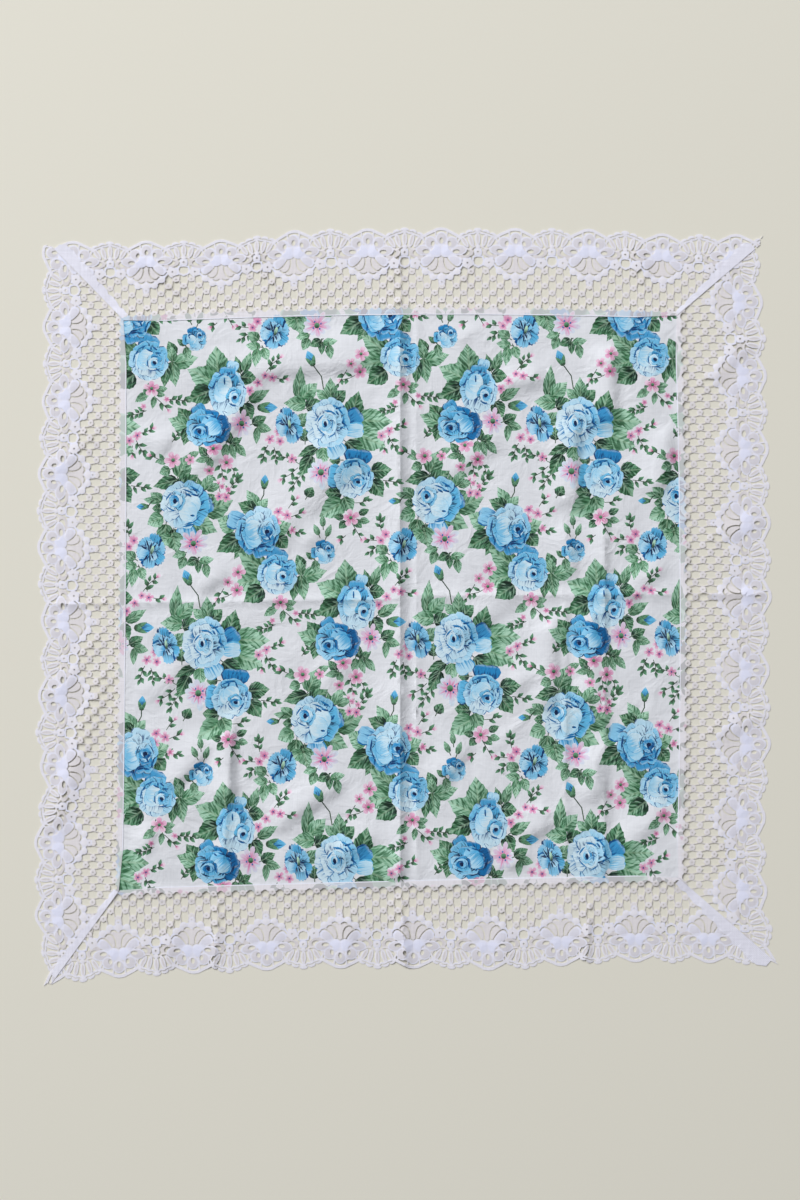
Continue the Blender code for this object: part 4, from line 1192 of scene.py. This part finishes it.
def crease_lines(low, high):
    """The crests that the panel's mesh follows, where they are clear of its edges."""
    lines = []
    for crease in CREASES:
        start, end = Vector((crease.x, crease.y)), Vector((crease.end_x, crease.end_y))
        aside = Vector((-(end - start).y, (end - start).x)).normalized()
        for offset in (0.0, -CREST_WIDTH) if crease.crest > 2 else (0.0,) if crease.crest else ():
            path = [start.lerp(end, k / CREST_STEPS) + aside * offset for k in range(CREST_STEPS + 1)]
            path = [p for p in path if low.x + EDGE_CLEAR < p.x < high.x - EDGE_CLEAR
                    and low.y + EDGE_CLEAR < p.y < high.y - EDGE_CLEAR]
            if len(path) > 1:
                lines.append(path)
    return lines


def grid_spots(settings):
    """Loose points all over the panel."""
    count = round(GRID_ACROSS / settings.grid)
    shuffle = random.Random(GRID_SEED)
    return [
        panel_place((i + shuffle.uniform(-0.3, 0.3)) / count, (j + shuffle.uniform(-0.3, 0.3)) / count)
        for i in range(1, count) for j in range(1, count)
    ]


def turn_hem(bm, low, high):
    """Folds the panel's rim down, and then in under the panel."""
    middle, size = (low + high) / 2, high - low
    edges = [edge for edge in bm.edges if edge.is_boundary]
    for drop, inward in HEM_FOLDS:
        made = bmesh.ops.extrude_edge_only(bm, edges=edges)
        edges = [item for item in made["geom"] if isinstance(item, bmesh.types.BMEdge)]
        for vert in (item for item in made["geom"] if isinstance(item, bmesh.types.BMVert)):
            vert.co.z -= drop
            aside = vert.co.xy - middle
            for axis in (0, 1):
                if abs(aside[axis]) > size[axis] / 2 - RIM_REACH:
                    vert.co[axis] -= math.copysign(min(inward, abs(aside[axis])), aside[axis])


def make_panel(settings, material):
    """The printed square with its turned hem."""
    steps = [k / RIM_STEPS for k in range(RIM_STEPS)]
    rim = [(k, 0) for k in steps] + [(1, k) for k in steps]
    rim += [(1 - k, 1) for k in steps] + [(0, 1 - k) for k in steps]
    outline = [panel_place(s, t) for s, t in rim]
    low = Vector((min(p.x for p in outline), min(p.y for p in outline)))
    high = Vector((max(p.x for p in outline), max(p.y for p in outline)))
    forms = printed_forms(settings)
    bm = arranged(outline, forms, crease_lines(low, high), grid_spots(settings))

    places, size = np.array([vert.co.xy for vert in bm.verts]), np.array(high - low)
    shares = (places - np.array(low)) / size
    to_edge = (np.minimum(shares, 1 - shares) * size).min(axis=1)
    heights = cloth_heights(places[:, 0], places[:, 1], np.maximum(to_edge - HEADING, 0.0))
    turned = 1 - ease((to_edge - HEM_WIDTH) / HEM_STEP)
    heights += PANEL_THICKNESS + (HEM_THICKNESS - PANEL_THICKNESS) * turned
    for vert, height, share in zip(bm.verts, heights, ease(to_edge / CRUMPLE_START)):
        spot = Vector((vert.co.x, vert.co.y, 3))
        crumple = sum(noise.noise(spot * often) * depth for often, depth in CRUMPLES)
        vert.co.z = height + share * (crumple + CRUMPLE_LIFT)
    turn_hem(bm, low, high)
    ground = ((*settings.ground, 0.0), (*settings.ground, 0.0))
    return add_piece("printed_panel", bm, forms, ground, material, True)


# Materials

class Nodes:
    """Adds shader nodes to a tree. Inputs hold values or other nodes' outputs."""

    def __init__(self, tree):
        self.tree = tree

    def fill(self, sockets, values):
        for name, value in values.items():
            if isinstance(value, bpy.types.NodeSocket):
                self.tree.links.new(value, sockets[name])
            else:
                sockets[name].default_value = value

    def add(self, kind, inputs, **settings):
        """The outputs of a new node."""
        node = self.tree.nodes.new("ShaderNode" + kind)
        for name, value in settings.items():
            setattr(node, name, value)
        self.fill(node.inputs, inputs)
        return node.outputs

    def group(self, name, inputs):
        return self.add("Group", inputs, node_tree=bpy.data.node_groups[name])

    def maths(self, operation, *values):
        return self.add("Math", dict(enumerate(values)), operation=operation)[0]

    def times(self, first, *others):
        for other in others:
            first = self.maths("MULTIPLY", first, other)
        return first

    def plus(self, first, second):
        return self.maths("ADD", first, second)

    def minus(self, first, second):
        return self.maths("SUBTRACT", first, second)

    def scaled(self, vector, *scale):
        return self.add("VectorMath", {0: vector, 1: scale}, operation="MULTIPLY")[0]

    def moved(self, vector, by):
        return self.add("VectorMath", {0: vector, 1: by}, operation="ADD")[0]

    def noise(self, place, scale, detail, **more):
        return self.add("TexNoise", {"Vector": place, "Scale": scale, "Detail": detail, **more})["Fac"]

    def step(self, value, low, high):
        """0 up to low, 1 from high on, smooth between."""
        return self.add("MapRange", {"Value": value, "From Min": low, "From Max": high},
                        interpolation_type="SMOOTHSTEP")["Result"]

    def mix(self, share, first, second, blend="MIX"):
        return self.add("Mix", {"Factor": share, "A": first, "B": second}, data_type="RGBA",
                        blend_type=blend)["Result"]


def new_group(name, inputs, outputs):
    """An empty node group with these sockets: its nodes, and the sockets inside it."""
    tree = bpy.data.node_groups.new(name, "ShaderNodeTree")
    for label, default in inputs.items():
        kind = default if isinstance(default, str) else "Float"
        socket = tree.interface.new_socket(label, in_out="INPUT", socket_type="NodeSocket" + kind)
        if kind == "Float":
            socket.default_value = default
    for label, kind in outputs.items():
        tree.interface.new_socket(label, in_out="OUTPUT", socket_type="NodeSocket" + kind)
    inside = tree.nodes.new("NodeGroupInput").outputs, tree.nodes.new("NodeGroupOutput").inputs
    return Nodes(tree), *inside


def plain_weave_group():
    """Warp and weft that cross: the height of the threads and a faint unevenness of their tone."""
    nodes, given, result = new_group(
        "Plain Weave", {"Place": "Vector", "Thread Pitch": 0.0006, "Unevenness": 0.5},
        {"Height": "Float", "Tone": "Float"})
    spot = nodes.add("SeparateXYZ", {"Vector": given["Place"]})
    turns = nodes.maths("DIVIDE", math.tau / 2, given["Thread Pitch"])
    warp, weft = (nodes.maths("SINE", nodes.times(spot[way], turns)) for way in "XY")
    slubs = [nodes.noise(nodes.add("Mapping", {"Vector": given["Place"], "Scale": scale})[0], 1.0, 1.0)
             for scale in ((900.0, 45.0, 1.0), (45.0, 900.0, 1.0))]
    uneven = nodes.times(nodes.minus(nodes.plus(*slubs), 1.0), given["Unevenness"])
    nodes.fill(result, {"Height": nodes.plus(nodes.times(warp, weft, 0.35), uneven),
                        "Tone": nodes.plus(1.0, nodes.times(uneven, 0.35))})


def drawn_form_group():
    """The finish of a form between its foot and its tip, with brush streaks and leaf veins."""
    nodes, given, result = new_group(
        "Drawn Form", {"Place": "Vector", "Form": "Vector", "Foot": "Color", "Tip": "Color", "Veins": 0.0,
                       "Streaks": 0.0}, {"Color": "Color"})
    place, streaks = given["Place"], given["Streaks"]
    form = nodes.add("SeparateXYZ", {"Vector": given["Form"]})
    side, up = form["X"], form["Y"]
    aside = nodes.maths("ABSOLUTE", side)
    path = nodes.moved(nodes.scaled(given["Form"], 5.0, 1.0, 0.0), nodes.scaled(place, 60.0, 60.0, 0.0))
    brush = nodes.noise(path, 1.3, 3.0, Roughness=0.6)
    share = nodes.plus(up, nodes.times(nodes.minus(brush, 0.5), streaks, 2.4))
    share = nodes.step(nodes.plus(share, nodes.times(aside, aside, 0.15)), 0.15, 0.80)
    colour = nodes.mix(share, given["Foot"], given["Tip"])
    rim = nodes.step(nodes.maths("MAXIMUM", up, nodes.times(aside, 0.95)), 0.84, 0.97)
    rim = nodes.times(rim, nodes.step(brush, 0.38, 0.5), streaks, 0.30)
    colour = nodes.mix(rim, colour, (0.66, 0.78, 0.84, 1.0))
    slant = nodes.add("CombineXYZ", {"X": nodes.minus(nodes.times(up, 9.0), nodes.times(aside, 4.2)),
                                     "Y": nodes.times(side, 1.6)})[0]
    strokes = nodes.noise(nodes.moved(slant, nodes.scaled(place, 18.0, 18.0, 0.0)), 1.0, 1.0)
    for mask, strength, tint, blend in (
        # a leaf's shaded half, its dark and its pale strokes that leave the middle slanting, its middle line
        (nodes.step(side, -0.05, 0.25), 0.60, (0.40, 0.54, 0.44, 1.0), "MULTIPLY"),
        (nodes.minus(1.0, nodes.step(strokes, 0.40, 0.50)), 0.85, (0.18, 0.32, 0.22, 1.0), "MULTIPLY"),
        (nodes.step(strokes, 0.54, 0.66), 0.45, (0.44, 0.66, 0.50, 1.0), "MIX"),
        (nodes.maths("LESS_THAN", aside, 0.08), 0.35, (0.36, 0.52, 0.36, 1.0), "MIX"),
    ):
        colour = nodes.mix(nodes.times(mask, given["Veins"], strength), colour, tint, blend)
    nodes.fill(result, {"Color": colour})


def handling_creases_group():
    """Fine creasing of handled cloth, as a height."""
    nodes, given, result = new_group(
        "Handling Creases", {"Place": "Vector", "Size": 40.0}, {"Height": "Float"})
    folds = nodes.noise(given["Place"], given["Size"], 4.0, Roughness=0.55, Distortion=0.6)
    fold = nodes.maths("ABSOLUTE", nodes.minus(folds, 0.5))
    nodes.fill(result, {"Height": nodes.minus(1.0, nodes.times(fold, 4.0))})


def make_groups():
    if "Plain Weave" not in bpy.data.node_groups:
        plain_weave_group()
        drawn_form_group()
        handling_creases_group()


def new_material(name):
    """A material, its nodes, the sockets of its shader and the place on the surface."""
    material = bpy.data.materials.new(name)
    material.use_nodes = True
    nodes = Nodes(material.node_tree)
    shader = material.node_tree.nodes["Principled BSDF"]
    return material, nodes, shader.inputs, nodes.add("TexCoord", {})["Object"]


def form_inputs(nodes):
    """A form's frame and the two ends of its finish."""
    return nodes.add("UVMap", {}, uv_map="Form")["UV"], *(
        nodes.add("Attribute", {}, attribute_name=name) for name in ("foot_finish", "tip_finish"))


def cotton_material():
    make_groups()
    material, nodes, shader, place = new_material("printed_cotton")
    form, foot, tip = form_inputs(nodes)
    drawn = nodes.group("Drawn Form", {
        "Place": place, "Form": form, "Foot": foot["Color"], "Tip": tip["Color"],
        "Veins": foot["Alpha"], "Streaks": tip["Alpha"]})
    weave = nodes.group("Plain Weave", {"Place": place, "Thread Pitch": 0.0006, "Unevenness": 0.3})
    creases = nodes.group("Handling Creases", {"Place": place, "Size": 38.0})
    fold = nodes.add("Bump", {"Height": creases["Height"], "Distance": 0.0009, "Strength": 0.65})
    threads = nodes.add("Bump", {"Height": weave["Height"], "Distance": 0.0001, "Strength": 0.6,
                                 "Normal": fold[0]})
    nodes.fill(shader, {
        "Base Color": nodes.mix(1.0, drawn["Color"], weave["Tone"], "MULTIPLY"),
        "Roughness": nodes.maths("MULTIPLY_ADD", weave["Tone"], 0.3, 0.52),
        "Normal": threads[0], "Sheen Weight": 0.08, "Specular IOR Level": 0.25})
    return material


def lace_material():
    make_groups()
    material, nodes, shader, place = new_material("white_lace")
    form, foot, tip = form_inputs(nodes)
    across = nodes.add("SeparateXYZ", {"Vector": form})
    along = nodes.maths("MULTIPLY_ADD", across["Y"], 2.0, -1.0)
    rim = nodes.maths("MULTIPLY_ADD", across["X"], across["X"], nodes.times(along, along))
    drawn = nodes.mix(nodes.step(rim, 0.45, 0.85), foot["Color"], tip["Color"])
    weave = nodes.group("Plain Weave", {"Place": place, "Thread Pitch": 0.0009, "Unevenness": 0.8})
    # the knit's height makes the bump and is also multiplied into the colour: lighter on the threads'
    # crossings and painted shade in the hollows between them, together with the yarn's uneven tone
    knit = nodes.times(weave["Height"], nodes.plus(tip["Alpha"], 0.15))
    nodes.fill(shader, {
        "Base Color": nodes.mix(1.0, drawn, nodes.plus(1.0, nodes.times(knit, 0.25)), "MULTIPLY"),
        "Roughness": nodes.minus(0.78, nodes.times(foot["Alpha"], 0.34)),
        "Normal": nodes.add("Bump", {"Height": knit, "Distance": 0.0002, "Strength": 0.7})[0],
        "Sheen Weight": 0.1, "Specular IOR Level": 0.35})
    return material


def floor_material(colour):
    material, nodes, shader, place = new_material("pale_floor")
    tone = nodes.maths("MULTIPLY_ADD", nodes.noise(place, 900.0, 2.0), 0.04, 0.98)
    nodes.fill(shader, {"Base Color": nodes.mix(1.0, (*colour, 1.0), tone, "MULTIPLY"), "Roughness": 0.9,
                        "Specular IOR Level": 0.1})
    return material


# Settings

def colour_property(name, description, default):
    return bpy.props.FloatVectorProperty(
        name=name, description=description, default=default, subtype="COLOR", size=3, min=0.0, max=1.0)


def measure(name, description, default, low, high, unit="LENGTH"):
    return bpy.props.FloatProperty(
        name=name, description=description, default=default, min=low, max=high, unit=unit)


class PrintSettings(bpy.types.PropertyGroup):
    """The printed panel."""

    ground: colour_property("Ground", "The cotton where nothing is printed", ink(224, 226, 232))
    navy: colour_property("Navy", "The darkest strokes of the blue flowers", ink(12, 34, 72))
    deep_blue: colour_property("Deep blue", "The shaded petals", ink(8, 76, 136))
    blue: colour_property("Blue", "The body of the blue petals", ink(22, 126, 188))
    sky_blue: colour_property("Sky blue", "The lit petals", ink(98, 184, 228))
    leaf: colour_property("Leaf", "The middle green of the leaves", ink(97, 152, 116))
    pink: colour_property("Pink", "The small flowers", ink(226, 162, 198))
    grid: measure("Grid", "Spacing of the points that let the cloth bend", 0.0040, 0.002, 0.02)


class LaceSettings(bpy.types.PropertyGroup):
    """The lace edging."""

    net_colour: colour_property("Net", "The threads and flowers of the net", ink(234, 230, 233))
    satin_colour: colour_property("Satin", "The dense shiny forms", ink(228, 230, 250))
    sheer_colour: colour_property("Sheer", "The thin forms that let the ground show", ink(214, 209, 212))
    thickness: measure("Thickness", "Thickness of the net's threads", 0.0003, 0.0002, 0.001)
    lie: measure("Lie", "How far above what it lies on the lace rests", 0.0001, 0.0, 0.001)
    waviness: measure("Waviness", "How far the net stands off the floor in places", 0.0004, 0.0, 0.004)


class StageSettings(bpy.types.PropertyGroup):
    """The floor, the lights and the camera."""

    floor: colour_property("Floor", "The pale floor", ink(226, 223, 211))
    key_power: measure("Key light", "Power of the soft light from the upper left", 1105.0, 0.0, 1e4, "POWER")
    fill_power: measure("Fill light", "Power of the wide light from above", 8.0, 0.0, 1e4, "POWER")
    height: measure("Camera height", "Height of the camera above the floor", 2.22, 0.5, 10.0)


# Operators

class SCARF_OT_panel(bpy.types.Operator):
    """Make the printed cotton square"""

    bl_idname = "scarf.make_panel"
    bl_label = "Make the printed panel"

    def execute(self, context):
        piece = make_panel(context.scene.scarf_print, cotton_material())
        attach(piece, "root")
        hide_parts("panel")
        return {"FINISHED"}


class SCARF_OT_lace(bpy.types.Operator):
    """Make the four strips of lace edging"""

    bl_idname = "scarf.make_lace"
    bl_label = "Make the lace edging"

    def execute(self, context):
        material = lace_material()
        printed = printed_forms(context.scene.scarf_print)
        for side in SIDES:
            piece = make_strip(side, context.scene.scarf_lace, material, printed)
            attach(piece, "root")
            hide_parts("lace_" + side.name)
        return {"FINISHED"}


class SCARF_OT_stage(bpy.types.Operator):
    """Lay the floor and set the lights and the camera above the scarf"""

    bl_idname = "scarf.make_stage"
    bl_label = "Make the stage"

    def execute(self, context):
        scene, settings = context.scene, context.scene.scarf_stage

        def put(name, data, place):
            item = bpy.data.objects.new(name, data)
            item.location = place
            scene.collection.objects.link(item)
            return item

        mesh = bpy.data.meshes.new("floor")
        bm = bmesh.new()
        bmesh.ops.create_grid(bm, x_segments=4, y_segments=4, size=4.0)
        bm.to_mesh(mesh)
        bm.free()
        mesh.materials.append(floor_material(settings.floor))
        put("floor", mesh, (0, 0, 0))
        for name, place, size, power in (
            ("key_light", (-4.4, 5.8, 6.2), 7.0, settings.key_power),
            ("fill_light", (0.3, -0.2, 2.9), 3.0, settings.fill_power),
        ):
            light = bpy.data.lights.new(name, "AREA")
            light.shape, light.size, light.energy = "DISK", size, power
            put(name, light, place).rotation_euler = (-Vector(place)).to_track_quat("-Z", "Y").to_euler()
        scene.world = bpy.data.worlds.new("studio")
        scene.world.use_nodes = True
        background = scene.world.node_tree.nodes["Background"].inputs
        background["Color"].default_value = (0.92, 0.95, 1.0, 1.0)
        background["Strength"].default_value = 0.12
        scene.view_settings.view_transform = "Standard"
        data = bpy.data.cameras.new("camera")
        data.sensor_width, data.lens = 36.0, 18 / math.tan(math.atan(HALF_VIEW / settings.height))
        scene.camera = put("camera", data, (-0.0057, 0.0101, settings.height))
        return {"FINISHED"}


STEPS = {"print": ("scarf.make_panel", PrintSettings), "lace": ("scarf.make_lace", LaceSettings),
         "stage": ("scarf.make_stage", StageSettings)}


class SCARF_PT_sidebar(bpy.types.Panel):
    """The scarf's pieces in the sidebar"""

    bl_idname = "SCARF_PT_sidebar"
    bl_label = "Lace Scarf"
    bl_space_type = "VIEW_3D"
    bl_region_type = "UI"
    bl_category = "Scarf"

    def draw(self, context):
        for name, (operator, settings) in STEPS.items():
            box = self.layout.box()
            for label in settings.__annotations__:
                box.prop(getattr(context.scene, "scarf_" + name), label)
            box.operator(operator)


CLASSES = (PrintSettings, LaceSettings, StageSettings, SCARF_OT_panel, SCARF_OT_lace, SCARF_OT_stage,
           SCARF_PT_sidebar)


def register():
    for cls in CLASSES:
        bpy.utils.register_class(cls)
    for name, (_, settings) in STEPS.items():
        setattr(bpy.types.Scene, "scarf_" + name, bpy.props.PointerProperty(type=settings))


def unregister():
    for name in STEPS:
        delattr(bpy.types.Scene, "scarf_" + name)
    for cls in reversed(CLASSES):
        bpy.utils.unregister_class(cls)


def main():
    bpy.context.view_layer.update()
    register()
    bpy.ops.scarf.make_panel()
    bpy.ops.scarf.make_lace()
    bpy.ops.scarf.make_stage()


if __name__ == "__main__":
    main()
